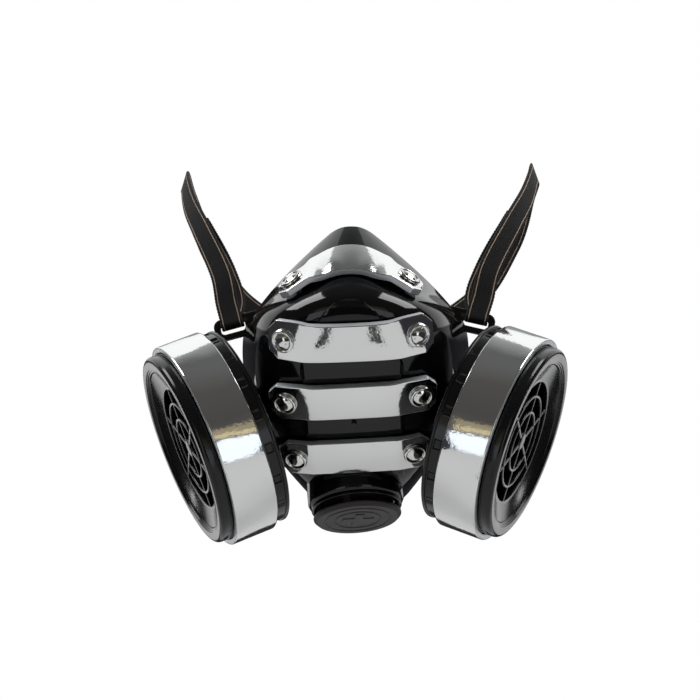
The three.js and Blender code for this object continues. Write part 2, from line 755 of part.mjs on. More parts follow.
function valveCapGeometry() {
  const inside = valveCapRadius - valveCapWall;
  const faceRadius = valveCapRadius - valveCapBevel;
  const relief = reliefShares.flatMap((share) => {
    const radius = share * faceRadius;
    return [[radius, 0], [radius, reliefRise], [radius + reliefLine, reliefRise], [radius + reliefLine, 0]];
  });
  const profile = [
    [0, 0], ...relief, [faceRadius, 0], [valveCapRadius, -valveCapBevel],
    [valveCapRadius, -valveCapHeight], [inside, -valveCapHeight],
    [inside, -valveCapWall], [0, -valveCapWall],
  ];
  let cap = solidFrom(lathe(profile.reverse(), roundSides));
  const pitch = 2 * Math.PI / valveWindows;
  const open = pitch * valveWindowShare / 2;
  const top = -valveCapWall - gap;
  const height = valveCapHeight + top - valveWindowMargin;
  const wall = [inside - valveCapWall, valveCapRadius + valveCapWall];
  const window = ringSector(...wall, [-open, -open], [open, open], 2)
    .scale(1, 1, height).translate(0, 0, top - height);
  for (let i = 0; i < valveWindows; i++) {
    cap = cap.subtract(placed(window, new THREE.Matrix4().makeRotationZ(pitch * i)));
  }
  const arm = plusArm / 2;
  const quarter = [[plusReach, -arm], [plusReach, arm], [arm, arm]];
  const corners = [0, 1, 2, 3].flatMap((turn) => quarter.map(([x, y]) => {
    const angle = turn * Math.PI / 2;
    return new THREE.Vector2(x, y).rotateAround(new THREE.Vector2(), angle);
  }));
  const plus = new THREE.ExtrudeGeometry(new THREE.Shape(corners), {
    depth: 2 * reliefRise,
    bevelEnabled: false,
  });
  return geometryFrom(cap.add(solidFrom(plus.translate(0, 0, -reliefRise))));
}

function buildValveHousing() {
  const foot = -valveCapHeight - gap;
  const inside = valveHousingRadius - valveHousingWall;
  const housing = lathe([
    [valveBore, foot], [valveBore, foot - valveFloor],
    [inside, foot - valveFloor], [inside, -valveHousingReach],
    [valveHousingRadius, -valveHousingReach], [valveHousingRadius, foot],
    [valveBore, foot],
  ], roundSides);
  return placed(housing, valveFrame()).subtract(spaceBehind(shellGrid(gap, true)));
}

// Head strap

const strapSteps = 20;
const returnSteps = 7;
const foldSteps = 6;
const seamSide = new THREE.Vector3(-1, 1, -0.5);  // from the sewn strap towards its doubled end
const lugPlace = seatPoint(seats.lug, 1);

// Middle points and across directions of one stretch, smoothly through the rows given.
function smoothStretch(rows, steps) {
  const middles = new THREE.CatmullRomCurve3(rows.map((row) => row.middle));
  const acrosses = new THREE.CatmullRomCurve3(rows.map((row) => row.across));
  const stretch = [];
  for (let i = 0; i <= steps; i++) {
    stretch.push({ middle: middles.getPoint(i / steps), across: acrosses.getPoint(i / steps) });
  }
  return stretch;
}

function strapRow([near, wide, back, up, x, y, z]) {
  return {
    middle: new THREE.Vector3(
      near * lugPlace.x + wide * strapHalfSpan,
      lugPlace.y + back * strapDepth,
      lugPlace.z + up * strapRise,
    ),
    across: new THREE.Vector3(x, y, z),
  };
}

// The strap goes down behind the bar, through the slot and up in front of the bar.
function foldRows() {
  const frame = lugFrame(1);
  const x = new THREE.Vector3().setFromMatrixColumn(frame, 0);
  const radius = lugThickness / 2 + gap + strapThickness / 2;
  const place = (y, z) => ({ middle: new THREE.Vector3(0, y, z).applyMatrix4(frame), across: x.clone() });
  const rows = [place(lugBar / 2 + gap, -radius)];
  for (let i = 0; i <= foldSteps; i++) {
    const angle = Math.PI * i / foldSteps;
    rows.push(place(-lugBar / 2 - radius * Math.sin(angle), -radius * Math.cos(angle)));
  }
  rows.push(place(lugBar / 2 + gap, radius));
  return rows;
}

function crossRing(previous, row, next) {
  const along = next.middle.clone().sub(previous.middle).normalize();
  const normal = new THREE.Vector3().crossVectors(along, row.across).normalize();
  const across = new THREE.Vector3().crossVectors(normal, along);
  const corner = (side, face) => row.middle.clone()
    .addScaledVector(across, side * strapWidth / 2)
    .addScaledVector(normal, face * strapThickness / 2);
  return [corner(-1, -1), corner(1, -1), corner(1, 1), corner(-1, 1)];
}

function strapGeometry() {
  const fold = foldRows();
  const up = smoothStretch([fold[fold.length - 1], ...strapRoute.map(strapRow)], strapSteps);
  const sewn = up[Math.round(strapSewnShare * strapSteps)];
  const seam = {
    middle: sewn.middle.clone().addScaledVector(seamSide.normalize(), strapThickness + 2 * gap),
    across: sewn.across,
  };
  const down = smoothStretch([seam, ...strapReturn.map(strapRow).reverse(), fold[0]], returnSteps);
  const right = [...down.slice(0, -1), ...fold.slice(0, -1), ...up];
  const left = right.slice(0, -1).reverse().map(({ middle, across }) => ({
    middle: new THREE.Vector3(-middle.x, middle.y, middle.z),
    across: new THREE.Vector3(across.x, -across.y, -across.z),
  }));
  const all = [...right, ...left];
  for (const { middle } of all) {
    const free = 1 - Math.min(Math.abs(middle.x) / lugPlace.x, 1);
    middle.x += strapSway * Math.max(free, Math.min((middle.z - lugPlace.z) / strapRise, 1), 0);
  }
  const last = all.length - 1;
  return loftRings(all.map((row, i) => {
    return crossRing(all[Math.max(i - 1, 0)], row, all[Math.min(i + 1, last)]);
  }));
}

// The mask

const mask = new THREE.Group();

function add(name, geometry, material, frame) {
  const mesh = new THREE.Mesh(geometry, material);
  mesh.name = name;
  if (frame) mesh.applyMatrix4(frame);
  mask.add(mesh);
}

add('mask_shell', geometryFrom(buildShell()), glossBlack);
add('valve_housing', geometryFrom(buildValveHousing()), glossBlack);
add('valve_cap', valveCapGeometry(), satinBlack, valveFrame());

for (const { strip, left, right, rivets } of stripParts) {
  let body = solidFrom(stripGeometry(strip, left, right));
  for (const { frame } of rivets) body = body.subtract(rivetHole(frame));
  add(strip.name, geometryFrom(body), mirrorFilm);
  for (const { side, frame, height } of rivets) {
    add(`${strip.name}_rivet_${side}`, rivetGeometry(height), chromeMetal, frame);
  }
}

for (const [side, sign] of sides) {
  const frame = canisterFrame(sign);
  add(`canister_body_${side}`, canisterBodyGeometry(), satinBlack, frame);
  add(`canister_band_${side}`, canisterBandGeometry(), mirrorFilm, frame);
  add(`filter_cover_${side}`, filterCoverGeometry(), satinBlack, frame);
}

add('head_strap', strapGeometry(), wovenBlack);

export default mask;
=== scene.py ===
# %% [markdown]
# # A cyber mask, dressed for a studio picture
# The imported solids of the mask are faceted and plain. This lesson puts smooth, finished surfaces
# in their places: a glossy moulded half mask, four strips of mirror film, two filter canisters, an
# outlet valve and a woven strap. Every surface is worked out with numpy from the same few sizes as
# the solids, so it sits exactly where the solid does.

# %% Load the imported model
import math

import bpy
import numpy as np
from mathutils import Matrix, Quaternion, Vector


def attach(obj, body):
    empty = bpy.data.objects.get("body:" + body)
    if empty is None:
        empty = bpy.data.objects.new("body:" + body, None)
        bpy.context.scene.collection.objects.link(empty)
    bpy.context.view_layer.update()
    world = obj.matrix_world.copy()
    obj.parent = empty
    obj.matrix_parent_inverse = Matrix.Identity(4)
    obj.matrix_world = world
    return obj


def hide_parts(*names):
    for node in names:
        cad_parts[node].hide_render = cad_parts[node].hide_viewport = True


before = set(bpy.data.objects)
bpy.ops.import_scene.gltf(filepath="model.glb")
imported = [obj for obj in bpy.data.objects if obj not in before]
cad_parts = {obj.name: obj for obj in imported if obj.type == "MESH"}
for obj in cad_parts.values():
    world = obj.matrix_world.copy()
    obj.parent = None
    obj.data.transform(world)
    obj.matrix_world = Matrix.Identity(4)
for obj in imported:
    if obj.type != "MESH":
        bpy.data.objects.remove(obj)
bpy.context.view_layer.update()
MM = 0.001

# %% [markdown]
# ## Helpers for closed surfaces
# A surface in Blender is a list of points and a list of faces. Typing them by hand is slow, and
# adding ready-made shapes hides where the sizes come from. Here each piece is a grid of points,
# computed at once as an array, and one helper joins the neighbours with four-cornered faces. A
# second helper measures the volume that the faces enclose: a negative volume means that the faces
# look inwards, so they are turned round. Bars and bands are rings in a row, and a third helper
# closes such a row at both ends.

# %% Grid faces and the piece maker
def grid_faces(rows, columns, wrap_rows=False, wrap_columns=False):
    """Four-cornered faces between neighbours of a grid whose points are numbered row by row."""
    i = np.arange(rows if wrap_rows else rows - 1)
    j = np.arange(columns if wrap_columns else columns - 1)
    a, b = np.meshgrid(i, j, indexing="ij")
    below, beside = (a + 1) % rows, (b + 1) % columns
    corners = [a * columns + b, a * columns + beside, below * columns + beside, below * columns + b]
    return np.stack(corners, axis=-1).reshape(-1, 4)


def enclosed_volume(points, quads, triangles):
    """A sixth of the sum of a . (b x c) over the triangles, positive when faces look outwards."""
    halves = np.concatenate([quads[:, [0, 1, 2]], quads[:, [0, 2, 3]], triangles])
    a, b, c = (points[halves[:, k]] for k in range(3))
    return np.einsum("ij,ij->", a, np.cross(b, c)) / 6


def make_piece(name, points, quads, materials, nodes, triangles=(), crease=35, uv=None,
               face_material=None):
    """A mesh object that stands for CAD nodes. uv gives each point its place on the pattern."""
    points = np.asarray(points, float).reshape(-1, 3)
    quads = np.asarray(quads, int).reshape(-1, 4)
    triangles = np.asarray(triangles, int).reshape(-1, 3)
    if enclosed_volume(points, quads, triangles) < 0:
        quads, triangles = quads[:, ::-1], triangles[:, ::-1]
    mesh = bpy.data.meshes.new(name)
    mesh.from_pydata(points.tolist(), [], quads.tolist() + triangles.tolist())
    for material in materials:
        mesh.materials.append(material)
    if face_material is not None:
        mesh.polygons.foreach_set("material_index", np.asarray(face_material, np.int32))
    if uv is not None:
        corners = np.empty(len(mesh.loops), np.int32)
        mesh.loops.foreach_get("vertex_index", corners)
        layer = mesh.uv_layers.new(name="UVMap")
        layer.data.foreach_set("uv", np.asarray(uv, float)[corners].ravel())
    mesh.polygons.foreach_set("use_smooth", np.ones(len(mesh.polygons), bool))
    mesh.set_sharp_from_angle(angle=math.radians(crease))
    mesh.update()
    piece = bpy.data.objects.new(name, mesh)
    bpy.context.scene.collection.objects.link(piece)
    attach(piece, "root")
    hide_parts(*nodes)
    return piece


def end_fans(grid_rows, columns, first_pole, last_pole):
    """Triangles from a pole point to the first row and from another to the last row of a grid."""
    j = np.arange(columns)
    beside = (j + 1) % columns
    last = (grid_rows - 1) * columns
    first_fan = np.stack([np.full(columns, first_pole), beside, j], axis=-1)
    last_fan = np.stack([np.full(columns, last_pole), last + j, last + beside], axis=-1)
    return np.concatenate([first_fan, last_fan])


def capped_tube(grid):
    """Points, quads and triangles of rings in a row, closed at each end by the ring's middle."""
    rows, columns = grid.shape[:2]
    points = np.concatenate([grid.reshape(-1, 3), [grid[0].mean(axis=0), grid[-1].mean(axis=0)]])
    fans = end_fans(rows, columns, rows * columns, rows * columns + 1)
    return points, grid_faces(rows, columns, False, True), fans


def capped_tubes(grids):
    """Several capped tubes as one set of points and faces, numbered on from each to the next."""
    points, quads, fans = zip(*[capped_tube(grid) for grid in grids])
    starts = np.cumsum([0] + [len(p) for p in points[:-1]])
    quads = [start + q for start, q in zip(starts, quads)]
    fans = [start + f for start, f in zip(starts, fans)]
    return np.concatenate(points), np.concatenate(quads), np.concatenate(fans)


# %% [markdown]
# ## Turned pieces
# Rivets, canisters, their grilles and the valve are all round. On a lathe, or with Blender's Screw
# modifier, a profile is turned round an axis. The same thing as arrays is short: a profile of
# radius and height pairs, times the cosine and sine of a row of angles. Where a radius or a height
# changes on the way round, it is an array itself. Real moulded corners are never quite sharp, so
# each corner of a profile is first replaced by a small curve.

# %% Soft corners and the lathe
def soften(profile, radius, loop=False, steps=4):
    """Each corner becomes a quadratic curve between points a radius before and after it."""
    p = np.asarray(profile, float)
    before, after = np.roll(p, 1, axis=0) - p, np.roll(p, -1, axis=0) - p
    before_length = np.linalg.norm(before, axis=1)
    after_length = np.linalg.norm(after, axis=1)
    reach = np.minimum(radius, 0.45 * np.minimum(before_length, after_length))[:, None]
    start = (p + before / before_length[:, None] * reach)[:, None, :]
    end = (p + after / after_length[:, None] * reach)[:, None, :]
    t = np.linspace(0, 1, steps)[None, :, None]
    curve = (1 - t) ** 2 * start + 2 * t * (1 - t) * p[:, None, :] + t ** 2 * end
    if loop:
        return curve.reshape(-1, 2)
    return np.concatenate([p[:1], curve[1:-1].reshape(-1, 2), p[-1:]])


def frame_along(origin, direction):
    """The origin in metres and three axes, with the third one along the direction."""
    z = np.asarray(direction, float)
    z = z / np.linalg.norm(z)
    x = np.cross((0, 0, 1), z)
    x = x / np.linalg.norm(x)
    return np.asarray(origin, float) * MM, np.stack([x, np.cross(z, x), z])


def place(local, where):
    """Points given along a frame's axes, in millimetres, become points of the scene in metres."""
    origin, axes = where
    return origin + (np.asarray(local, float) * MM) @ axes


def turn(profile, segments):
    """x = radius times cosine, y = radius times sine and z = height, for a row of angles."""
    radius, height = np.asarray(profile, float).T
    angle = np.linspace(0, 2 * np.pi, segments, endpoint=False)
    x = radius[:, None] * np.cos(angle)
    y = radius[:, None] * np.sin(angle)
    return np.stack([x, y, np.broadcast_to(height[:, None], x.shape)], axis=-1)


def uneven_turn(rows, segments):
    """The same for rows of radius and height that may each change with the angle."""
    angle = np.linspace(0, 2 * np.pi, segments, endpoint=False)
    rings = [np.broadcast_arrays(r * np.cos(angle), r * np.sin(angle), h) for r, h in rows]
    return np.stack([np.stack(ring, axis=-1) for ring in rings])


def turned_ring(name, profile, where, materials, nodes, segments=128, edge_rows=None):
    """A closed profile turned round the axis. edge_rows marks rows that take the second material."""
    grid = turn(profile, segments)
    quads = grid_faces(len(grid), segments, True, True)
    marks = None if edge_rows is None else np.repeat(np.asarray(edge_rows, int), segments)
    return make_piece(name, place(grid, where), quads, materials, nodes, face_material=marks)


def turned_solid(name, profile, poles, where, materials, nodes, segments=64):
    """An open profile turned round the axis and closed by a pole point at each end."""
    grid = turn(profile, segments)
    rows = len(grid)
    points = np.concatenate([grid.reshape(-1, 3), [[0, 0, poles[0]], [0, 0, poles[1]]]])
    quads = grid_faces(rows, segments, False, True)
    fans = end_fans(rows, segments, rows * segments, rows * segments + 1)
    return make_piece(name, place(points, where), quads, materials, nodes, triangles=fans)


# %% [markdown]
# ## Finishes
# The mask is injection-moulded plastic. Its front is polished until it mirrors the studio, the
# canisters and the valve are a little duller, and the strips and bands carry a mirror film. One
# shader could be copied for each finish, but handled plastic always shows the same thing: faint
# smudges that change the gloss, and a slightly uneven surface that bends reflections. So that
# effect is one node group, and each finish gives it its own numbers.

# %% The node group for an uneven surface
SMUDGE_SCALE, SMUDGE_DETAIL, SMUDGE_MIDDLE = 90, 5, 0.45
LEAST_ROUGHNESS = 0.02
BUMPS = [
    # scale detail strength distance in metres
    (55, 1, "Wave", 0.004),
    (700, 2, "Ripple", 0.0006),
]


def link(tree, source, target):
    """A line from an output socket to an input socket."""
    tree.links.new(source, target)


def noise_node(tree, vector, scale, detail):
    """A Noise Texture node."""
    node = tree.nodes.new("ShaderNodeTexNoise")
    node.inputs["Scale"].default_value = scale
    node.inputs["Detail"].default_value = detail
    link(tree, vector, node.inputs["Vector"])
    return node


def uneven_surface_group():
    """Roughness plus or minus a smudge, and a normal bent by a low wave and a finer ripple."""
    group = bpy.data.node_groups.new("uneven_surface", "ShaderNodeTree")
    for name, default in [("Roughness", 0.1), ("Smudge", 0.05), ("Wave", 0.1), ("Ripple", 0.02)]:
        socket = group.interface.new_socket(name, in_out="INPUT", socket_type="NodeSocketFloat")
        socket.default_value = default
    group.interface.new_socket("Roughness", in_out="OUTPUT", socket_type="NodeSocketFloat")
    group.interface.new_socket("Normal", in_out="OUTPUT", socket_type="NodeSocketVector")
    entry = group.nodes.new("NodeGroupInput")
    leave = group.nodes.new("NodeGroupOutput")
    place_node = group.nodes.new("ShaderNodeTexCoord")
    where = place_node.outputs["Object"]
    smudge = noise_node(group, where, SMUDGE_SCALE, SMUDGE_DETAIL)
    centred = group.nodes.new("ShaderNodeMath")
    centred.operation = "SUBTRACT"
    link(group, smudge.outputs["Fac"], centred.inputs[0])
    centred.inputs[1].default_value = SMUDGE_MIDDLE
    change = group.nodes.new("ShaderNodeMath")
    change.operation = "MULTIPLY_ADD"
    link(group, centred.outputs[0], change.inputs[0])
    link(group, entry.outputs["Smudge"], change.inputs[1])
    link(group, entry.outputs["Roughness"], change.inputs[2])
    keep = group.nodes.new("ShaderNodeClamp")
    keep.inputs["Min"].default_value = LEAST_ROUGHNESS
    link(group, change.outputs[0], keep.inputs["Value"])
    link(group, keep.outputs[0], leave.inputs["Roughness"])
    normal = None
    for scale, detail, strength, distance in BUMPS:
        texture = noise_node(group, where, scale, detail)
        bump = group.nodes.new("ShaderNodeBump")
        bump.inputs["Distance"].default_value = distance
        link(group, entry.outputs[strength], bump.inputs["Strength"])
        link(group, texture.outputs["Fac"], bump.inputs["Height"])
        if normal is not None:
            link(group, normal, bump.inputs["Normal"])
        normal = bump.outputs["Normal"]
    link(group, normal, leave.inputs["Normal"])
    return group


uneven_surface = uneven_surface_group()


def finish(name, colour, roughness, metallic=0.0, smudge=0.04, wave=0.05, ripple=0.02, shine=0.5):
    """A Principled finish of one colour with the uneven surface behind its gloss."""
    material = bpy.data.materials.new(name)
    material.use_nodes = True
    tree = material.node_tree
    shader = tree.nodes["Principled BSDF"]
    shader.inputs["Base Color"].default_value = (*colour, 1)
    shader.inputs["Metallic"].default_value = metallic
    shader.inputs["Specular IOR Level"].default_value = shine
    uneven = tree.nodes.new("ShaderNodeGroup")
    uneven.node_tree = uneven_surface
    for socket, value in [("Roughness", roughness), ("Smudge", smudge), ("Wave", wave),
                          ("Ripple", ripple)]:
        uneven.inputs[socket].default_value = value
    link(tree, uneven.outputs["Roughness"], shader.inputs["Roughness"])
    link(tree, uneven.outputs["Normal"], shader.inputs["Normal"])
    return material


gloss_black = finish("polished_black_plastic", (0.003, 0.0032, 0.0038), 0.06, wave=0.06, shine=0.4)
satin_black = finish("moulded_black_plastic", (0.004, 0.0042, 0.0046), 0.17, smudge=0.08, ripple=0.04,
                     shine=0.4)
dull_black = finish("dull_black_plastic", (0.016, 0.0115, 0.013), 0.40, smudge=0.12, ripple=0.1,
                    shine=0.35)
mirror_film = finish("mirror_film", (0.82, 0.83, 0.83), 0.08, metallic=1.0, wave=0.12, ripple=0.06)
film_edge = finish("cut_edge_of_the_film", (0.62, 0.64, 0.67), 0.35, metallic=0.5)
chrome_metal = finish("chromed_rivet", (0.83, 0.83, 0.81), 0.05, metallic=1.0, wave=0.03)
print("finishes:", [m.name for m in (gloss_black, satin_black, dull_black, mirror_film, film_edge,
                                     chrome_metal)])

# %% [markdown]
# ## The surface of the half mask
# The half mask is a free-form shell: narrow at the nose, wide at the cheeks and narrow again at
# the chin. It could be sculpted, or pulled from a subdivided cage. A B-spline surface keeps it
# measurable: a table holds twelve cross sections, each with a middle and five points to the side,
# and every surface point is a weighted mean of them. The weights come from cubic B-splines, so the
# surface is smooth everywhere.

# %% Cross sections and the B-spline weights
SHELL_HEIGHT = 129.0
SHELL_HALF_WIDTH = 52.0
SHELL_DEPTH = 92.0
SHELL_WALL = 2.0
NORMAL_STEP = 1e-3
SHELL_SECTIONS = np.array([
    # y      z      lean   five pairs: distance from the middle, depth back from it
    [0.000, 0.000, -48, 0.070, 0.004, 0.120, 0.018, 0.155, 0.032, 0.185, 0.046, 0.210, 0.062],
    [-0.110, -0.050, -22, 0.090, 0.006, 0.170, 0.028, 0.240, 0.060, 0.320, 0.105, 0.390, 0.160],
    [-0.240, -0.125, -16, 0.110, 0.006, 0.270, 0.065, 0.440, 0.170, 0.580, 0.280, 0.710, 0.420],
    [-0.365, -0.200, -12, 0.130, 0.006, 0.340, 0.080, 0.560, 0.230, 0.750, 0.420, 0.890, 0.660],
    [-0.485, -0.270, -6, 0.170, 0.004, 0.440, 0.055, 0.680, 0.190, 0.870, 0.440, 0.990, 0.850],
    [-0.395, -0.400, -1, 0.300, 0.002, 0.520, 0.026, 0.750, 0.110, 0.910, 0.390, 1.030, 0.860],
    [-0.275, -0.515, 2, 0.340, 0.002, 0.560, 0.022, 0.780, 0.085, 0.910, 0.330, 1.030, 0.770],
    [-0.145, -0.635, 5, 0.350, 0.002, 0.570, 0.022, 0.780, 0.080, 0.890, 0.280, 0.990, 0.670],
    [0.000, -0.755, 10, 0.350, 0.002, 0.560, 0.022, 0.740, 0.075, 0.830, 0.230, 0.920, 0.540],
    [0.115, -0.865, 14, 0.330, 0.002, 0.490, 0.018, 0.630, 0.070, 0.710, 0.200, 0.790, 0.430],
    [0.270, -0.945, 15, 0.270, 0.004, 0.370, 0.015, 0.460, 0.060, 0.540, 0.150, 0.600, 0.270],
    [0.520, -1.010, 40, 0.200, 0.002, 0.270, 0.008, 0.340, 0.020, 0.400, 0.050, 0.450, 0.090],
])


def spline_weights(count, t):
    """Weights of a clamped uniform cubic B-spline, one row for each value of t."""
    knots = np.clip(np.arange(count + 4) - 3, 0, count - 3).astype(float)
    x = (np.clip(t, 0, 1) * (count - 3) * (1 - 1e-9))[:, None]
    weights = ((x >= knots[:-1]) & (x < knots[1:])).astype(float)
    for degree in range(1, 4):
        first, last = knots[:-degree - 1], knots[degree:-1]
        left = np.divide(x - first, last - first, out=np.zeros(x.shape * np.array([1, len(first)])),
                         where=last > first)
        first, last = knots[1:-degree], knots[degree + 1:]
        right = np.divide(last - x, last - first, out=np.zeros(x.shape * np.array([1, len(first)])),
                          where=last > first)
        weights = weights[:, :-1] * left + weights[:, 1:] * right
    return weights


def control_net():
    """Eleven control points in each of twelve sections, in millimetres, mirrored left to right."""
    y, z, lean = (SHELL_SECTIONS[:, k] for k in range(3))
    pairs = SHELL_SECTIONS[:, 3:].reshape(len(SHELL_SECTIONS), 5, 2)
    lean = np.radians(lean)[:, None]
    depth = pairs[..., 1] * SHELL_DEPTH
    right = np.stack([pairs[..., 0] * SHELL_HALF_WIDTH,
                      y[:, None] * SHELL_DEPTH + depth * np.cos(lean),
                      z[:, None] * SHELL_HEIGHT + depth * np.sin(lean)], axis=-1)
    middle = np.stack([0 * y, y * SHELL_DEPTH, z * SHELL_HEIGHT], axis=-1)[:, None]
    left = right[:, ::-1] * [-1, 1, 1]
    return np.concatenate([left, middle, right], axis=1)


NET = control_net()


def shell_point(u, v):
    """The B-spline surface at u across, from -1 to 1, and v down, from 0 to 1. Arrays of any shape."""
    u, v = np.broadcast_arrays(np.asarray(u, float), np.asarray(v, float))
    across = spline_weights(NET.shape[1], (u.ravel() + 1) / 2)
    down = spline_weights(NET.shape[0], v.ravel())
    return np.einsum("nr,nc,rcd->nd", down, across, NET, optimize=True).reshape(*u.shape, 3)


def unit(vectors):
    """The same directions with length one."""
    return vectors / np.linalg.norm(vectors, axis=-1, keepdims=True)


def shell_normal(u, v):
    """Down the surface crossed with across it, from small steps to both sides."""
    step = NORMAL_STEP
    across = shell_point(np.minimum(u + step, 1), v) - shell_point(np.maximum(u - step, -1), v)
    down = shell_point(u, np.minimum(v + step, 1)) - shell_point(u, np.maximum(v - step, 0))
    return unit(np.cross(down, across))


V_TABLE = np.linspace(0, 1, 2001)
BELOW_TABLE = -shell_point(0 * V_TABLE, V_TABLE)[:, 2]


def share_at(below):
    """v where the middle of the surface is that far below the nose bridge."""
    return np.interp(below, BELOW_TABLE, V_TABLE)


print("surface from nose to chin in mm:", round(float(BELOW_TABLE[-1]), 1))

# %% [markdown]
# ## The moulded shell
# A raised flat panel with a pointed top is moulded into the front. Its edge could be cut in with
# a Boolean, but here the columns of the grid follow the edge, so the step is clean: the columns
# inside are lifted, a few columns across the bevel fall, and the rest lie on the surface. A copy
# of the grid, pushed in by the wall's thickness, closes it into a body, and faces inside the
# bores of the canisters' necks and of the outlet are left out.

# %% Panel, grid and holes
PANEL_HALF_WIDTH = 21.5
PANEL_TOP = 34.0
PANEL_TAPER = 28.0
PANEL_POWER = 0.44
PANEL_RISE = 1.1
PANEL_BOTTOM = 114.0
PANEL_BEVEL = 0.9
NARROWEST_PANEL = 0.06
SHELL_ROWS, EDGE_ROWS = 130, 6
PANEL_COLUMNS, BEVEL_COLUMNS, FLANK_COLUMNS = 17, 6, 47


def smooth_step(t):
    """From 0 to 1 with a level start and end."""
    t = np.clip(t, 0, 1)
    return t * t * (3 - 2 * t)


def panel_edge_share(v):
    """u of the panel's edge in each row: half the panel's width, read from a table of x over u."""
    below = np.interp(v, V_TABLE, BELOW_TABLE)
    taper = np.clip((below - PANEL_TOP) / PANEL_TAPER, 0, 1) ** PANEL_POWER
    u = np.linspace(0, 0.9, 181)
    x = shell_point(u[None, :], v[:, None])[..., 0]
    return np.array([np.interp(PANEL_HALF_WIDTH * t, row, u) for t, row in zip(taper, x)])


def shell_grid_places():
    """u, v and rise of every grid point. Columns: panel, bevel, then flank out to the rim."""
    rows = [np.linspace(0, 1, SHELL_ROWS)]
    for edge in (PANEL_TOP, PANEL_BOTTOM - PANEL_BEVEL):
        rows.append(share_at(np.linspace(edge, edge + PANEL_BEVEL, EDGE_ROWS)))
    v = np.unique(np.concatenate(rows).round(6))
    edge = np.maximum(panel_edge_share(v), NARROWEST_PANEL)[:, None]
    bevel = PANEL_BEVEL / SHELL_HALF_WIDTH
    inside = np.linspace(0, 1, PANEL_COLUMNS)[None, :]
    ramp = np.linspace(0, 1, BEVEL_COLUMNS)[None, 1:]
    flank = np.linspace(0, 1, FLANK_COLUMNS)[None, 1:]
    foot = edge + bevel
    half = np.concatenate([edge * inside, edge + bevel * ramp, foot + (1 - foot) * flank], axis=1)
    lift = np.concatenate([1 + 0 * inside, 1 - smooth_step(ramp), 0 * flank], axis=1)
    below = np.interp(v, V_TABLE, BELOW_TABLE)[:, None]
    lift = lift * smooth_step((below - PANEL_TOP) / PANEL_BEVEL)
    lift = lift * smooth_step((PANEL_BOTTOM - below) / PANEL_BEVEL)
    u = np.concatenate([-half[:, :0:-1], half], axis=1)
    rise = PANEL_RISE * np.concatenate([lift[:, :0:-1], lift], axis=1)
    return u, np.broadcast_to(v[:, None], u.shape), rise


shell_u, shell_v, shell_rise = shell_grid_places()
surface = shell_point(shell_u, shell_v)
normals = shell_normal(shell_u, shell_v)
outer_skin = surface + normals * shell_rise[..., None]
inner_skin = surface - normals * SHELL_WALL
print("shell grid:", outer_skin.shape[:2])

# %% Places of the canisters and the valve
SIDES = {"left": -1, "right": 1}
CANISTER_ACROSS, CANISTER_BACK, CANISTER_BELOW = 55.6, 9.0, 91.8
CANISTER_SWEEP, CANISTER_DROOP = math.radians(18.3), math.radians(19.2)
VALVE_BACK, VALVE_BELOW = 22.0, 134.6
VALVE_DROOP, VALVE_CANT = math.radians(66.5), math.radians(5)
NECK_BORE = 13.8
OUTLET_BORE = 12.5
BORE_REACH = 45
SHELL_EDGE, SHELL_EDGE_TURN = 0.5, math.radians(60)


def canister_frame(sign):
    """The axis leaves the cheek sideways, turned forward by the sweep and down by the droop."""
    axis = (sign * math.cos(CANISTER_DROOP) * math.cos(CANISTER_SWEEP),
            -math.cos(CANISTER_DROOP) * math.sin(CANISTER_SWEEP), -math.sin(CANISTER_DROOP))
    return frame_along((sign * CANISTER_ACROSS, CANISTER_BACK, -CANISTER_BELOW), axis)


def valve_frame():
    """The axis points down and forward, leant over sideways by a small cant."""
    forward, down = math.cos(VALVE_DROOP), math.sin(VALVE_DROOP)
    axis = (down * math.sin(VALVE_CANT), -forward, -down * math.cos(VALVE_CANT))
    return frame_along((0, VALVE_BACK, -VALVE_BELOW), axis)


canister_frames = {side: canister_frame(sign) for side, sign in SIDES.items()}
bores = [(where, NECK_BORE) for where in canister_frames.values()] + [(valve_frame(), OUTLET_BORE)]


def along_frame(points, where):
    """Scene points in millimetres, measured along a frame's axes from its origin."""
    origin, axes = where
    return (points - origin / MM) @ axes.T


def pierced_sheet(outer, inner, holes):
    """Outer and inner faces outside every hole, with a wall along each edge that is left open."""
    rows, columns = outer.shape[:2]
    count = rows * columns
    skins = [outer.reshape(-1, 3).copy(), inner.reshape(-1, 3).copy()]
    quads = grid_faces(rows, columns)
    for where, radius in holes:
        local = along_frame(skins[0], where)
        distance = np.hypot(local[:, 0], local[:, 1])
        near = (local[:, 2] < 0) & (local[:, 2] > -BORE_REACH)
        centre = distance[quads].mean(axis=1)
        cut = (centre < radius) & near[quads].all(axis=1)
        rim = np.intersect1d(quads[cut], quads[~cut])
        quads = quads[~cut]
        for skin in skins:
            local = along_frame(skin[rim], where)
            length = np.hypot(local[:, 0], local[:, 1])[:, None]
            local[:, :2] *= radius / length
            skin[rim] = local @ where[1] + where[0] / MM
    sides = np.concatenate([quads[:, [k, (k + 1) % 4]] for k in range(4)])
    forward = sides[:, 0] * count + sides[:, 1]
    backward = sides[:, 1] * count + sides[:, 0]
    a, b = sides[~np.isin(forward, backward)].T
    walls = np.stack([b, a, a + count, b + count], axis=-1)
    faces = np.concatenate([quads, quads[:, ::-1] + count, walls])
    used, numbered = np.unique(faces, return_inverse=True)
    return np.concatenate(skins)[used] * MM, numbered.reshape(-1, 4)


def soften_shell_edges(piece):
    """A Bevel modifier on the edges that turn sharply."""
    modifier = piece.modifiers.new("soft_edges", "BEVEL")
    modifier.width = SHELL_EDGE * MM
    modifier.segments = 2
    modifier.limit_method = "ANGLE"
    modifier.angle_limit = SHELL_EDGE_TURN
    modifier.harden_normals = False


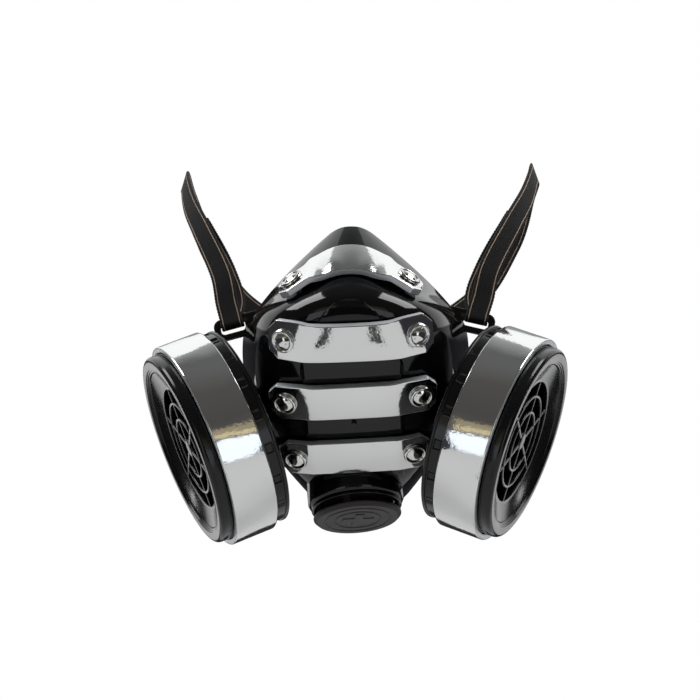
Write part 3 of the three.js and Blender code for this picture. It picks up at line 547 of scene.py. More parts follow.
shell_points, shell_faces = pierced_sheet(outer_skin, inner_skin, bores)
shell_skin = make_piece("shell_skin", shell_points, shell_faces, [gloss_black], ["mask_shell"])
soften_shell_edges(shell_skin)
print("shell faces:", len(shell_faces))

# %% [markdown]
# ## Bosses for the canisters' necks
# Each canister screws into a round boss on the cheek. A tube pushed into the shell would do, but
# its foot would look cut off. Here the foot of the boss follows the shell: for each angle the
# nearest points of the skin tell how far down the axis the skin lies, and the foot flares out
# a little as a moulded joint does.

# %% Foot heights and the bosses
BOSS_TOP = -7.5
BOSS_WALL = 2.4
BOSS_FLARE = 2.2
BOSS_SEGMENTS = 96
NEAREST_POINTS = 4


def skin_height(where, radius, segments):
    """Height of the skin along a frame's axis at a circle of angles, from the four nearest points."""
    local = along_frame(outer_skin.reshape(-1, 3), where)
    local = local[(local[:, 2] < -4) & (local[:, 2] > -BORE_REACH)]
    angle = np.linspace(0, 2 * np.pi, segments, endpoint=False)
    circle = np.stack([np.cos(angle), np.sin(angle)], axis=-1) * radius
    distance = np.linalg.norm(circle[:, None] - local[None, :, :2], axis=-1)
    nearest = np.argsort(distance, axis=1)[:, :NEAREST_POINTS]
    weight = 1 / (np.take_along_axis(distance, nearest, axis=1) + 0.05)
    return (local[nearest, 2] * weight).sum(axis=1) / weight.sum(axis=1)


def boss(side, where):
    """Rows go up the bore, over the soft top edge, down the outside and out along the flare."""
    outer = NECK_BORE + BOSS_WALL
    foot = skin_height(where, outer, BOSS_SEGMENTS)
    rim = outer + BOSS_FLARE
    flare = skin_height(where, rim, BOSS_SEGMENTS)
    inside = skin_height(where, NECK_BORE, BOSS_SEGMENTS)
    rows = [(NECK_BORE, inside - 1.2), (NECK_BORE, BOSS_TOP - 0.4),
            (NECK_BORE + 0.15, BOSS_TOP - 0.1), (NECK_BORE + 0.5, BOSS_TOP),
            (outer - 0.6, BOSS_TOP), (outer - 0.2, BOSS_TOP - 0.15), (outer, BOSS_TOP - 0.6),
            (outer, foot + 2.6), (outer + 0.15, foot + 1.6), (outer + 0.6, foot + 0.8),
            (outer + 1.3, foot * 0.4 + flare * 0.6 + 0.25), (rim, flare - 0.05), (rim, flare - 0.9)]
    grid = uneven_turn(rows, BOSS_SEGMENTS)
    quads = grid_faces(len(rows), BOSS_SEGMENTS, True, True)
    return make_piece(f"neck_boss_{side}", place(grid, where), quads, [gloss_black],
                      ["mask_shell"])


for side, where in canister_frames.items():
    boss(side, where)

# %% The small moulded pip on the panel
PIP_BELOW = 88.0
PIP_RADIUS, PIP_FOOT, PIP_TOP = 1.2, 0.4, 2.4
pip_share = np.array(float(share_at(PIP_BELOW)))
pip_frame = frame_along(shell_point(np.array(0.0), pip_share), shell_normal(np.array(0.0), pip_share))
pip_profile = [(PIP_RADIUS, PIP_FOOT), (PIP_RADIUS, PIP_TOP - 0.4), (PIP_RADIUS * 0.8, PIP_TOP - 0.1),
               (PIP_RADIUS * 0.4, PIP_TOP)]
turned_solid("panel_pip", pip_profile, (PIP_FOOT, PIP_TOP), pip_frame, [gloss_black],
             ["mask_shell"], segments=32)

# %% [markdown]
# ## Strap lugs
# The strap is threaded through a slot in a flat lug at each top corner. The lug could be an
# extruded curve with a hole. As a grid, it is one closed loop of outlines: the outer outline, the
# same outline on the other face, and the slot's outline between them, with softened edges. Each
# outline has the same number of points, so the rows join without triangles.

# %% The lugs
LUG_ACROSS, LUG_BACK, LUG_BELOW = 57.5, 33.0, 41.0
LUG_TILT, LUG_LEAN = math.radians(14), math.radians(12)
LUG_THICKNESS, LUG_BAR, LUG_SLOT, LUG_ROOT = 2.6, 3.0, 4.6, 12.0
LUG_CORNER, LUG_EDGE = 3.6, 0.8
SLOT_CORNER, SLOT_EDGE, SLOT_GAP = 1.8, 0.6, 0.6
CORNER_STEPS = 10
STRAP_WIDTH, STRAP_THICKNESS = 10.6, 1.2
SLOT_HALF = STRAP_WIDTH / 2 + SLOT_GAP


def lug_frame(sign):
    """x along the bar to the right, y up across it and z forward, from the middle of the bar."""
    x = np.array([math.cos(LUG_TILT), 0, -sign * math.sin(LUG_TILT)])
    y = np.array([sign * math.sin(LUG_TILT) * math.cos(LUG_LEAN), math.sin(LUG_LEAN),
                  math.cos(LUG_TILT) * math.cos(LUG_LEAN)])
    z = np.cross(x, y)
    return np.array([sign * LUG_ACROSS, LUG_BACK, -LUG_BELOW]) * MM, np.stack([x, np.cross(z, x), z])


def rounded_outline(x0, y0, x1, y1, radius, height):
    """Four quarter circles at that height, one at each corner of a box, joined by straight sides."""
    angle = np.linspace(0, np.pi / 2, CORNER_STEPS)
    centres = [(x1 - radius, y0 + radius), (x1 - radius, y1 - radius),
               (x0 + radius, y1 - radius), (x0 + radius, y0 + radius)]
    arcs = [np.stack([cx + radius * np.cos(angle + (k - 1) * np.pi / 2),
                      cy + radius * np.sin(angle + (k - 1) * np.pi / 2)], axis=-1)
            for k, (cx, cy) in enumerate(centres)]
    line = np.concatenate(arcs)
    return np.column_stack([line, np.full(len(line), height)])


def lug(side, sign):
    """Outlines in a loop: outer wall, front face, slot wall and back face, with soft edges."""
    top, foot = -LUG_BAR / 2, -LUG_BAR / 2 - LUG_SLOT
    outer, inner = SLOT_HALF + LUG_BAR, -SLOT_HALF - LUG_ROOT
    x0, x1 = (inner, outer) if sign > 0 else (-outer, -inner)
    half = LUG_THICKNESS / 2
    soft, round_part = LUG_EDGE, 0.3

    def outer_line(shrink, height):
        return rounded_outline(x0 + shrink, foot - LUG_BAR + shrink, x1 - shrink,
                               LUG_BAR / 2 - shrink, LUG_CORNER - shrink, height)

    def slot_line(grow, height):
        return rounded_outline(-SLOT_HALF - grow, foot - grow, SLOT_HALF + grow, top + grow,
                               SLOT_CORNER + grow, height)

    part, slot_part = soft * round_part, SLOT_EDGE * round_part
    rows = [outer_line(0, -half + soft), outer_line(0, half - soft), outer_line(part, half - part),
            outer_line(soft, half), slot_line(SLOT_EDGE, half), slot_line(slot_part, half - slot_part),
            slot_line(0, half - SLOT_EDGE), slot_line(0, -half + SLOT_EDGE),
            slot_line(slot_part, -half + slot_part), slot_line(SLOT_EDGE, -half),
            outer_line(soft, -half), outer_line(part, -half + part)]
    grid = np.stack(rows)
    quads = grid_faces(len(rows), grid.shape[1], True, True)
    return make_piece(f"strap_lug_{side}", place(grid, lug_frame(sign)), quads, [gloss_black],
                      ["mask_shell"])


lugs = [lug(side, sign) for side, sign in SIDES.items()]
print("lugs:", [piece.name for piece in lugs])

# %% [markdown]
# ## Chrome strips
# Four bands of plastic with a mirror film are bent over the front and riveted down. Each one
# follows the line where a sloping plane cuts the shell. Blender could bend a flat bar with a Curve
# modifier. Carrying a section along the worked-out line gives the same bend with exact ends: a
# rounded bar section, with chamfered corners and a flat stretch under each rivet.

# %% The line of a strip on the shell
STRIPS = {
    # below  slope  cant  reach
    "nose_strip": (17.6, -74, 0.2, 33.5),
    "upper_strip": (51.2, 22, 1.4, 35.8),
    "middle_strip": (76.8, 25, 2.6, 36.9),
    "lower_strip": (102.0, 29, 2.8, 33.4),
}
STRIP_WIDTH, STRIP_THICKNESS, STRIP_LIFT, STRIP_CHAMFER = 18.2, 3.2, 0.5, 4.2
STRIP_SOFT = 0.45
RIVET_INSET = 7.4
ROUTE_END, ROUTE_STEPS, HALVINGS = 0.93, 61, 40
STRIP_FOOTPRINT, STRIP_MARGIN = 3.0, 0.3
STRIP_BENDS, STRIP_ROWS, SMOOTHING_ROWS = 6, 241, 21
CLOUD_STEPS = 91

cloud_u, cloud_v = np.meshgrid(np.linspace(-1, 1, CLOUD_STEPS), np.linspace(0, 1, CLOUD_STEPS))
cloud_edge = panel_edge_share(cloud_v[:, 0])[:, None]
cloud_below = np.interp(cloud_v, V_TABLE, BELOW_TABLE)
on_panel = (cloud_below > PANEL_TOP) & (cloud_below < PANEL_BOTTOM) & (np.abs(cloud_u) <= cloud_edge)
cloud_rise = (PANEL_RISE * on_panel)[..., None]
cloud = shell_point(cloud_u, cloud_v) + shell_normal(cloud_u, cloud_v) * cloud_rise
cloud = cloud.reshape(-1, 3)


def strip_line(below, slope, cant, sign):
    """v where the plane crosses each u, by halving the range, and the run along the crossing."""
    middle = shell_point(np.array(0.0), np.array(float(share_at(below))))
    rise, tip = math.tan(math.radians(slope)), math.tan(math.radians(cant))
    u = sign * ROUTE_END * np.linspace(0, 1, ROUTE_STEPS)
    low, high = np.zeros(ROUTE_STEPS), np.ones(ROUTE_STEPS)
    for _ in range(HALVINGS):
        v = (low + high) / 2
        p = shell_point(u, v)
        short = rise * (p[:, 1] - middle[1]) + tip * p[:, 0] - (p[:, 2] - middle[2]) < 0
        low, high = np.where(short, v, low), np.where(short, high, v)
    v = (low + high) / 2
    points = shell_point(u, v)
    steps = np.linalg.norm(np.diff(points, axis=0), axis=1)
    return u, v, points, np.concatenate([[0], np.cumsum(steps)])


def strip_section(line, run, sign, footprint):
    """Middle, directions along, across and out of the strip, and the height that clears the shell."""
    u, v, points, runs = line
    after = max(1, int(np.argmax(runs >= run)))
    share = (run - runs[after - 1]) / (runs[after] - runs[after - 1])
    u, v = (a[after - 1] + share * (a[after] - a[after - 1]) for a in (u, v))
    u, v = np.array(u), np.array(v)
    along = sign * unit(points[after] - points[after - 1])
    across = unit(np.cross(shell_normal(u, v), along))
    out = np.cross(along, across)
    middle = shell_point(u, v)
    offset = cloud - middle
    beside = np.abs(offset @ across) < STRIP_WIDTH / 2 + STRIP_MARGIN
    under = (np.abs(offset @ along) < footprint) & beside
    return middle, along, across, out, max(0.0, (offset[under] @ out).max())


def strip_half(below, slope, cant, reach, sign):
    """Stations from the middle to one end: bent ones, then a flat stretch under the rivet."""
    line = strip_line(below, slope, cant, sign)
    flat_start = reach - 2 * RIVET_INSET
    runs = [flat_start * i / STRIP_BENDS for i in range(STRIP_BENDS)]
    bent = [strip_section(line, run, sign, STRIP_FOOTPRINT) for run in runs]
    middle, along, across, out, height = strip_section(line, reach - RIVET_INSET, sign, RIVET_INSET)
    heights = [s[4] for s in bent] + [height]
    lifted = [max(heights[max(i - 1, 0):i + 2]) for i in range(STRIP_BENDS)]
    stations = [(run, s[0] + s[3] * (h + STRIP_LIFT), s[1], s[2], s[3])
                for run, s, h in zip(runs, bent, lifted)]
    for run in (flat_start, reach - RIVET_INSET, reach):
        base = middle + along * sign * (run - (reach - RIVET_INSET)) + out * (height + STRIP_LIFT)
        stations.append((run, base, along, across, out))
    return stations


# %% The bent bar
QUARTER_STEPS = 5
# Faces of the bar's ring on its two sides: the flat face and its neighbours on the soft edges
BAR_SIDES = [corners * QUARTER_STEPS - 1 + step for corners in (1, 3) for step in (-1, 0, 1)]


def strip_stations(left, right):
    """Even stations from end to end, with the bends between the rivets smoothed by averaging."""
    both = [(-s[0], *s[1:]) for s in left[:0:-1]] + right
    run = np.array([s[0] for s in both])
    table = np.array([np.concatenate(s[1:]) for s in both])
    even = np.linspace(run[0], run[-1], STRIP_ROWS)
    values = np.stack([np.interp(even, run, column) for column in table.T], axis=-1)
    kernel = np.hanning(SMOOTHING_ROWS)[1:-1]
    kernel /= kernel.sum()
    pad = len(kernel) // 2
    first = values[0] + (values[0] - values[1]) * np.arange(pad, 0, -1)[:, None]
    last = values[-1] + (values[-1] - values[-2]) * np.arange(1, pad + 1)[:, None]
    padded = np.concatenate([first, values, last])
    smooth = np.stack([np.convolve(column, kernel, "valid") for column in padded.T], axis=-1)
    return even, smooth[:, :3], unit(smooth[:, 3:6]), unit(smooth[:, 6:9]), unit(smooth[:, 9:12])


def bar_ring(half, thickness, soft):
    """A rectangle with quarter-round corners, as offsets across and out, one row a station."""
    angle = np.linspace(0, np.pi / 2, QUARTER_STEPS)
    corners = []
    for k, (side, face) in enumerate([(1, 0), (1, 1), (-1, 1), (-1, 0)]):
        turn_by = angle + (k - 1) * np.pi / 2
        across = side * (half - soft)[:, None] + soft[:, None] * np.cos(turn_by)
        out = np.where(face, thickness - soft, soft)[:, None] + soft[:, None] * np.sin(turn_by)
        corners.append(np.stack([across, out], axis=-1))
    return np.concatenate(corners, axis=1)


def strip(name, below, slope, cant, reach):
    """The bar section is carried along the stations. It narrows at the ends by the chamfer."""
    left, right = (strip_half(below, slope, cant, reach, sign) for sign in (-1, 1))
    run, middle, along, across, out = strip_stations(left, right)
    past = np.clip(np.abs(run) - (reach - STRIP_CHAMFER), 0, None)
    close = np.clip(1 - (reach - np.abs(run)) / 0.5, 0, 1)
    inset = STRIP_SOFT * (1 - np.sqrt(1 - close ** 2))
    half = STRIP_WIDTH / 2 - past - inset
    soft = np.full(len(run), STRIP_SOFT)
    ring = bar_ring(half, np.full(len(run), STRIP_THICKNESS), soft)
    grid = middle[:, None] + ring[..., :1] * across[:, None] + ring[..., 1:] * out[:, None]
    points, quads, fans = capped_tube(grid)
    side_faces = np.isin(quads[:, 0] % grid.shape[1], BAR_SIDES)
    marks = np.concatenate([side_faces, np.ones(len(fans), bool)])
    make_piece(name + "_bar", points * MM, quads, [mirror_film, film_edge], [name],
               triangles=fans, face_material=marks)
    ends = {}
    for side, half_stations in (("left", left), ("right", right)):
        _, base, _, _, out = half_stations[-2]
        ends[side] = (base + out * STRIP_THICKNESS, out)
    return ends


rivet_seats = {name: strip(name, *row) for name, row in STRIPS.items()}
print("strips:", list(rivet_seats))

# %% [markdown]
# ## Rivets
# A rivet's head has a raised ring round a shallow dome, and its shank ends in a tail inside the
# shell. It could be cut from a cylinder by hand. As a turned profile it is one row of radius and
# height pairs, softened at the corners, and the eight rivets only differ in where they stand.

# %% The eight rivets
RIVET_RADIUS, RIVET_DOME, RIVET_SHANK, RIVET_TAIL = 5.4, 3.9, 1.7, 2.8
TAIL_THICKNESS, TAIL_GAP = 0.9, 1.2
RIVET_TOP = 2.42


def rivet(name, seat, direction, depth):
    """From the tail up the shank, out under the head, over the ring and in to the dome's top."""
    head = 0.3
    profile = [
        (RIVET_TAIL, -depth - TAIL_THICKNESS), (RIVET_TAIL, -depth), (RIVET_SHANK, -depth),
        (RIVET_SHANK, head), (RIVET_RADIUS, head), (RIVET_RADIUS, head + 0.6),
        (RIVET_RADIUS - 0.5, head + 1.35),
        (RIVET_DOME + 0.4, head + 1.45), (RIVET_DOME, head + 0.75), (RIVET_DOME * 0.82, head + 1.3),
        (RIVET_DOME * 0.55, 2.15), (RIVET_DOME * 0.25, 2.38),
    ]
    turned_solid(name + "_head", soften(profile, 0.35), (-depth - TAIL_THICKNESS, RIVET_TOP),
                 frame_along(seat, direction), [chrome_metal], [name], segments=72)


for strip_name, ends in rivet_seats.items():
    for side, (seat, direction) in ends.items():
        node = f"{strip_name}_rivet_{side}"
        rivet(node, seat, direction, STRIP_THICKNESS + STRIP_LIFT + SHELL_WALL + TAIL_GAP)
print("rivets:", 2 * len(rivet_seats))

# %% [markdown]
# ## Filter canisters
# A canister is a drum with a neck, a flange and a grip collar at its back, a chrome band round it
# and a cover with a grille in front. All of it is turned, apart from the ribs of the collar and
# the spokes. The collar's ribs could be an array of small blocks, but they are only a change of
# radius with the angle, so the collar's grid has many columns and its radius rises at each rib.

# %% Body, collar and band
CANISTER_RADIUS, CANISTER_WALL = 44.9, 2.0
BAND_WIDTH, BAND_THICKNESS, BAND_GAP, BAND_SOFT = 20.2, 2.8, 0.3, 0.7
COLLAR_WIDTH, COLLAR_RISE, COLLAR_SLOTS, COLLAR_COLUMNS = 5.0, 0.6, 18, 1440
SLOT_DEPTH, SLOT_HALF_ARC = 0.40, 1.5
RIB_RISE, RIB_AT, RIB_HALF_ARC = 0.50, 2.1, 0.35
FLANGE_WIDTH, FLANGE_RISE = 2.2, 1.3
NECK_RADIUS, NECK_WALL, NECK_LENGTH = 13.5, 2.2, 6.5
CANISTER_END = -COLLAR_WIDTH - FLANGE_WIDTH


def canister_body(side, where):
    """A loop from the neck's end out to the flange, along the drum and back along its inside."""
    bore = NECK_RADIUS - NECK_WALL
    inside = CANISTER_RADIUS - CANISTER_WALL
    flange = CANISTER_RADIUS + FLANGE_RISE
    profile = [
        (bore, CANISTER_END - NECK_LENGTH), (NECK_RADIUS, CANISTER_END - NECK_LENGTH),
        (NECK_RADIUS, CANISTER_END), (flange - 1.6, CANISTER_END), (flange, CANISTER_END + 0.7),
        (flange, -COLLAR_WIDTH), (CANISTER_RADIUS, -COLLAR_WIDTH), (CANISTER_RADIUS, BAND_WIDTH),
        (inside, BAND_WIDTH), (inside, CANISTER_END + CANISTER_WALL),
        (bore, CANISTER_END + CANISTER_WALL),
    ]
    turned_ring(f"canister_drum_{side}", soften(profile, 0.5, loop=True), where, [satin_black],
                [f"canister_body_{side}"], segments=160)


def grip_collar(side, where):
    """Radius over the angle: a land, sunk in each slot, with a thin rib on both sides of it."""
    angle = np.linspace(0, 2 * np.pi, COLLAR_COLUMNS, endpoint=False)
    pitch = 2 * np.pi / COLLAR_SLOTS
    arc = np.abs((angle / pitch) % 1 - 0.5) * pitch * CANISTER_RADIUS
    groove = -SLOT_DEPTH * (1 - smooth_step((arc - SLOT_HALF_ARC) / 0.3))
    rib = RIB_RISE * np.clip(1 - np.abs(arc - RIB_AT) / RIB_HALF_ARC, 0, 1)
    foot, land = CANISTER_RADIUS - 0.4, CANISTER_RADIUS + COLLAR_RISE
    grip = land + groove + rib
    back, front = -COLLAR_WIDTH + 0.05, -0.35
    rows = [(foot, back), (land, back), (land, back + 0.5), (grip, back + 0.9), (grip, front - 0.9),
            (land, front - 0.5), (land, front), (foot, front)]
    grid = uneven_turn(rows, COLLAR_COLUMNS)
    quads = grid_faces(len(rows), COLLAR_COLUMNS, True, True)
    make_piece(f"grip_collar_{side}", place(grid, where), quads, [satin_black],
               [f"canister_body_{side}"])


def chrome_band(side, where):
    """A flat ring. The rows at its two ends show the pale cut edge of the film."""
    inside = CANISTER_RADIUS + BAND_GAP
    outside = inside + BAND_THICKNESS
    corners = [(inside, 0.0), (outside, 0.0), (outside, BAND_WIDTH), (inside, BAND_WIDTH)]
    profile = soften(corners, BAND_SOFT, loop=True, steps=5)
    middle = (profile + np.roll(profile, -1, axis=0)) / 2
    edge = (middle[:, 1] < 0.25) | (middle[:, 1] > BAND_WIDTH - 0.25)
    turned_ring(f"chrome_band_{side}", profile, where, [mirror_film, film_edge],
                [f"canister_band_{side}"], segments=256, edge_rows=edge)


for side, where in canister_frames.items():
    canister_body(side, where)
    grip_collar(side, where)
    chrome_band(side, where)

# %% [markdown]
# ## Grille covers
# The cover's rim stands out of the band, and a dish slopes in from it to a grille of rings and
# spokes. A Boolean could cut the grille out of a disc, but thin rounded bars catch the light
# better when each ring is a small turned loop and each spoke a bar with rounded edges.

# %% Rim, rings, spokes and hub
COVER_HEIGHT, COVER_ROUND, COVER_FACE, COVER_LIP, COVER_GAP = 6.2, 2.2, 7.0, 0.8, 0.3
SPIGOT_WALL, SPIGOT_DEPTH = 1.6, 3.3
DISH_WIDTH, GRILLE_SINK, GRILLE_THICKNESS, GRILLE_PITCH, GRILLE_RIB = 7.9, 4.0, 2.0, 7.7, 1.5
GRILLE_HUB, GRILLE_SPOKES = 4.4, 6
COVER_FRONT = BAND_WIDTH + COVER_HEIGHT
DISH = CANISTER_RADIUS - COVER_FACE - DISH_WIDTH
GRILLE_FRONT = COVER_FRONT - GRILLE_SINK
GRILLE_BACK = GRILLE_FRONT - GRILLE_THICKNESS


def cover_rim(side, where):
    """A loop over the round outer edge, down two fine lips, along the dish and back behind."""
    opening = CANISTER_RADIUS - COVER_FACE
    spigot = CANISTER_RADIUS - CANISTER_WALL - COVER_GAP
    foot, spigot_end = BAND_WIDTH + COVER_GAP, BAND_WIDTH - SPIGOT_DEPTH
    round_angle = np.linspace(0, np.pi / 2, 9)
    edge = [(CANISTER_RADIUS - COVER_ROUND * (1 - math.cos(a)),
             COVER_FRONT - COVER_ROUND * (1 - math.sin(a))) for a in round_angle]
    profile = [
        (DISH - GRILLE_RIB, GRILLE_BACK), (DISH + 1, GRILLE_BACK), (spigot - SPIGOT_WALL, foot),
        (spigot - SPIGOT_WALL, spigot_end), (spigot, spigot_end), (spigot, foot),
        (CANISTER_RADIUS, foot), *edge,
        (opening + 2 * COVER_LIP, COVER_FRONT), (opening + 2 * COVER_LIP, COVER_FRONT - 0.5),
        (opening + COVER_LIP, COVER_FRONT - 0.5), (opening + COVER_LIP, COVER_FRONT - 1.0),
        (opening, COVER_FRONT - 1.0), (opening - 0.3, COVER_FRONT - 1.6),
        (DISH, GRILLE_FRONT), (DISH - GRILLE_RIB, GRILLE_FRONT),
    ]
    turned_ring(f"cover_rim_{side}", soften(profile, 0.25, loop=True, steps=3), where,
                [satin_black], [f"filter_cover_{side}"], segments=160)


def grille_ring(name, side, outer, where):
    """A rounded bar section turned round the axis."""
    corners = [(outer - GRILLE_RIB, GRILLE_BACK), (outer, GRILLE_BACK), (outer, GRILLE_FRONT),
               (outer - GRILLE_RIB, GRILLE_FRONT)]
    turned_ring(f"{name}_{side}", soften(corners, 0.5, loop=True), where, [satin_black],
                [f"filter_cover_{side}"], segments=128)


def spokes(side, where):
    """Six straight bars, each a rounded section carried from the hub out to the dish."""
    half, soft, sink = GRILLE_RIB / 2, 0.4, 0.1
    ring = bar_ring(np.array([half]), np.array([GRILLE_THICKNESS - 2 * sink]), np.array([soft]))[0]
    reach = np.array([GRILLE_HUB - 1.0, DISH - GRILLE_RIB + 0.6])
    bars = []
    for k in range(GRILLE_SPOKES):
        angle = np.pi / 2 + 2 * np.pi * k / GRILLE_SPOKES
        out = np.array([math.cos(angle), math.sin(angle), 0])
        beside = np.array([-math.sin(angle), math.cos(angle), 0])
        bars.append(reach[:, None, None] * out + ring[None, :, :1] * beside
                    + (ring[None, :, 1:] + GRILLE_BACK + sink) * np.array([0, 0, 1]))
    points, quads, fans = capped_tubes(bars)
    make_piece(f"grille_spokes_{side}", place(points, where), quads, [satin_black],
               [f"filter_cover_{side}"], triangles=fans)


def grille_hub(side, where):
    """A low button in the middle of the spokes."""
    profile = [(GRILLE_HUB, GRILLE_BACK), (GRILLE_HUB, GRILLE_FRONT - 0.3),
               (GRILLE_HUB - 0.8, GRILLE_FRONT + 0.1), (1.5, GRILLE_FRONT + 0.3)]
    turned_solid(f"grille_hub_{side}", soften(profile, 0.4), (GRILLE_BACK, GRILLE_FRONT + 0.3),
                 where, [satin_black], [f"filter_cover_{side}"])


for side, where in canister_frames.items():
    cover_rim(side, where)
    grille_ring("outer_grille_ring", side, DISH - GRILLE_PITCH, where)
    grille_ring("inner_grille_ring", side, DISH - 2 * GRILLE_PITCH, where)
    spokes(side, where)
    grille_hub(side, where)
print("covers:", list(canister_frames))

# %% [markdown]
# ## Outlet valve
# Breath leaves through a valve under the chin: a round housing on the shell and a screwed cap with
# windows round its side. The housing is a tube whose top must meet the curved chin. Cutting it
# with a Boolean would work, but its top can be worked out: for each angle, the height where the
# tube's wall first gets behind the skin.

# %% Housing
VALVE_RADIUS, VALVE_WALL, VALVE_REACH, VALVE_FLOOR = 22.3, 2.2, 32.0, 1.8
CAP_HEIGHT, CAP_WALL, CAP_BEVEL, CAP_RADIUS = 6.5, 2.0, 1.6, 20.4
TOP_STEPS, CHIN_ROWS, NEAR_CHIN = 60, 60, 2.5
HOUSING_SEGMENTS = 120
valve_place = valve_frame()
HOUSING_FOOT = -CAP_HEIGHT - 0.3


def tube_top(where, radius, segments):
    """Lowest height on the tube's wall that lies behind the skin, at each angle."""
    heights = np.linspace(HOUSING_FOOT - 3, -VALVE_REACH, TOP_STEPS)
    wall = uneven_turn([(radius, height) for height in heights], segments).swapaxes(0, 1)
    wall = (place(wall, where) / MM).reshape(-1, 3)
    chin = outer_skin[-CHIN_ROWS:, ::3].reshape(-1, 3)
    distance = np.hypot(wall[:, None, 0] - chin[None, :, 0], wall[:, None, 2] - chin[None, :, 2])
    nearest = chin[np.argmin(distance, axis=1)]
    behind = (wall[:, 1] > nearest[:, 1]) & (distance.min(axis=1) < NEAR_CHIN)
    behind = behind.reshape(segments, TOP_STEPS)
    behind[:, -1] = True
    top = heights[np.argmax(behind, axis=1)]
    kernel = np.ones(5) / 5
    return np.convolve(np.concatenate([top[-2:], top, top[:2]]), kernel, "valid")


def valve_housing():
    """Rows go up the outside, over the top that follows the chin, down the inside and the floor."""
    top = tube_top(valve_place, VALVE_RADIUS, HOUSING_SEGMENTS)
    inside, foot = VALVE_RADIUS - VALVE_WALL, HOUSING_FOOT
    rows = [(OUTLET_BORE, foot), (VALVE_RADIUS - 3.0, foot), (VALVE_RADIUS - 1.6, foot - 0.3),
            (VALVE_RADIUS - 0.5, foot - 1.2), (VALVE_RADIUS, foot - 2.4), (VALVE_RADIUS, top),
            (inside, top), (inside, foot - VALVE_FLOOR - 1.0), (OUTLET_BORE, foot - VALVE_FLOOR)]
    grid = uneven_turn(rows, HOUSING_SEGMENTS)
    quads = grid_faces(len(rows), HOUSING_SEGMENTS, True, True)
    make_piece("valve_tube", place(grid, valve_place), quads, [gloss_black], ["valve_housing"],
               crease=50)


valve_housing()

# %% [markdown]
# ## Valve cap
# The cap is a disc with raised rings, a rim, eight posts between windows and a lower ring. Windows
# could be cut out of a cup. Building the posts between two rings gives the same openings with
# clean edges, and every part stays a closed body.

# %% Disc, posts, lower ring and raised plus
FACE_RADIUS = CAP_RADIUS - CAP_BEVEL
DISC_BACK, DISC_RIM_BACK, DISC_MIDDLE = -2.0, -2.3, 6.0
RELIEF_RISE, RELIEF_WIDTH, RING_SHARES = 0.35, 0.8, (0.54, 0.78)
PLUS_REACH, PLUS_ARM, PLUS_DRAFT = 7.4, 2.1, 0.18
PLUS_FOOT, PLUS_SHOULDER = -0.3, 0.12
WINDOWS, WINDOW_SHARE, WINDOW_MARGIN = 8, 0.8, 1.2


def cap_disc():
    """From the middle of the face out over two raised rings, round the rim and back underneath."""
    rings = []
    for share in RING_SHARES:
        start = share * FACE_RADIUS
        rings += [(start, 0), (start + 0.15, RELIEF_RISE), (start + RELIEF_WIDTH - 0.15, RELIEF_RISE),
                  (start + RELIEF_WIDTH, 0)]
    profile = [(DISC_MIDDLE, 0), *rings, (FACE_RADIUS, 0), (CAP_RADIUS, -CAP_BEVEL),
               (CAP_RADIUS, DISC_RIM_BACK), (CAP_RADIUS - CAP_WALL, DISC_RIM_BACK),
               (CAP_RADIUS - CAP_WALL - 1, DISC_BACK), (DISC_MIDDLE, DISC_BACK)]
    turned_solid("valve_cap_disc", soften(profile, 0.3), (0, DISC_BACK), valve_place, [dull_black],
                 ["valve_cap"], segments=160)


def cap_lower_ring():
    """The ring under the windows, a little wider at its foot."""
    low, high = -CAP_HEIGHT, -CAP_HEIGHT + WINDOW_MARGIN
    corners = [(CAP_RADIUS - CAP_WALL, low), (CAP_RADIUS + 0.6, low), (CAP_RADIUS + 0.6, high - 0.3),
               (CAP_RADIUS - 0.2, high), (CAP_RADIUS - CAP_WALL, high)]
    turned_ring("valve_cap_ring", soften(corners, 0.25, loop=True), valve_place, [satin_black],
                ["valve_cap"], segments=160)


def cap_posts():
    """Eight short walls between the windows, each a box section bent round the axis."""
    half = (1 - WINDOW_SHARE) * np.pi / WINDOWS
    inner, outer = CAP_RADIUS - CAP_WALL, CAP_RADIUS - 0.05
    turn_by = np.linspace(-half, half, 5)
    radius = np.repeat([outer, inner], 5)
    turn_by = np.concatenate([turn_by, turn_by[::-1]])
    low, high = -CAP_HEIGHT + WINDOW_MARGIN - 0.2, DISC_BACK - 0.2
    posts = []
    for k in range(WINDOWS):
        angle = turn_by + 2 * np.pi * (k + 0.5) / WINDOWS
        x, y = radius * np.cos(angle), radius * np.sin(angle)
        posts.append(np.stack([np.stack([x, y, 0 * x + z], axis=-1) for z in (low, high)]))
    points, quads, fans = capped_tubes(posts)
    make_piece("valve_cap_posts", place(points, valve_place), quads, [satin_black], ["valve_cap"],
               triangles=fans)


def cap_plus():
    """A raised plus: its outline low on the face, again a little smaller at the top."""
    reach, arm = PLUS_REACH, PLUS_ARM
    quarter = np.array([(reach, -arm), (reach, arm), (arm, arm)])
    turns = [np.array([[math.cos(a), -math.sin(a)], [math.sin(a), math.cos(a)]])
             for a in np.arange(4) * np.pi / 2]
    outline = np.concatenate([quarter @ t.T for t in turns])
    smaller = outline - np.sign(outline) * PLUS_DRAFT
    rings = [(outline, PLUS_FOOT), (outline, PLUS_SHOULDER), (smaller, RELIEF_RISE)]
    grid = np.stack([np.column_stack([line, np.full(len(line), z)]) for line, z in rings])
    points, quads, fans = capped_tube(grid)
    make_piece("valve_cap_plus", place(points, valve_place), quads, [dull_black], ["valve_cap"],
               triangles=fans, crease=20)


cap_disc()
cap_lower_ring()
cap_posts()
cap_plus()
print("valve: housing and cap")

# %% [markdown]
# ## The woven strap
# The strap is a flat elastic band that goes from one lug round the head to the other. At each lug
# it turns round the bar, and its doubled end is sewn down behind. A curve with a bevel would twist
# freely, so the band is a section carried along a smooth route with its own across direction. Its
# edges are scalloped as the picot edge of elastic is, and the pattern is painted by the band's own
# lengthwise and crosswise coordinates.

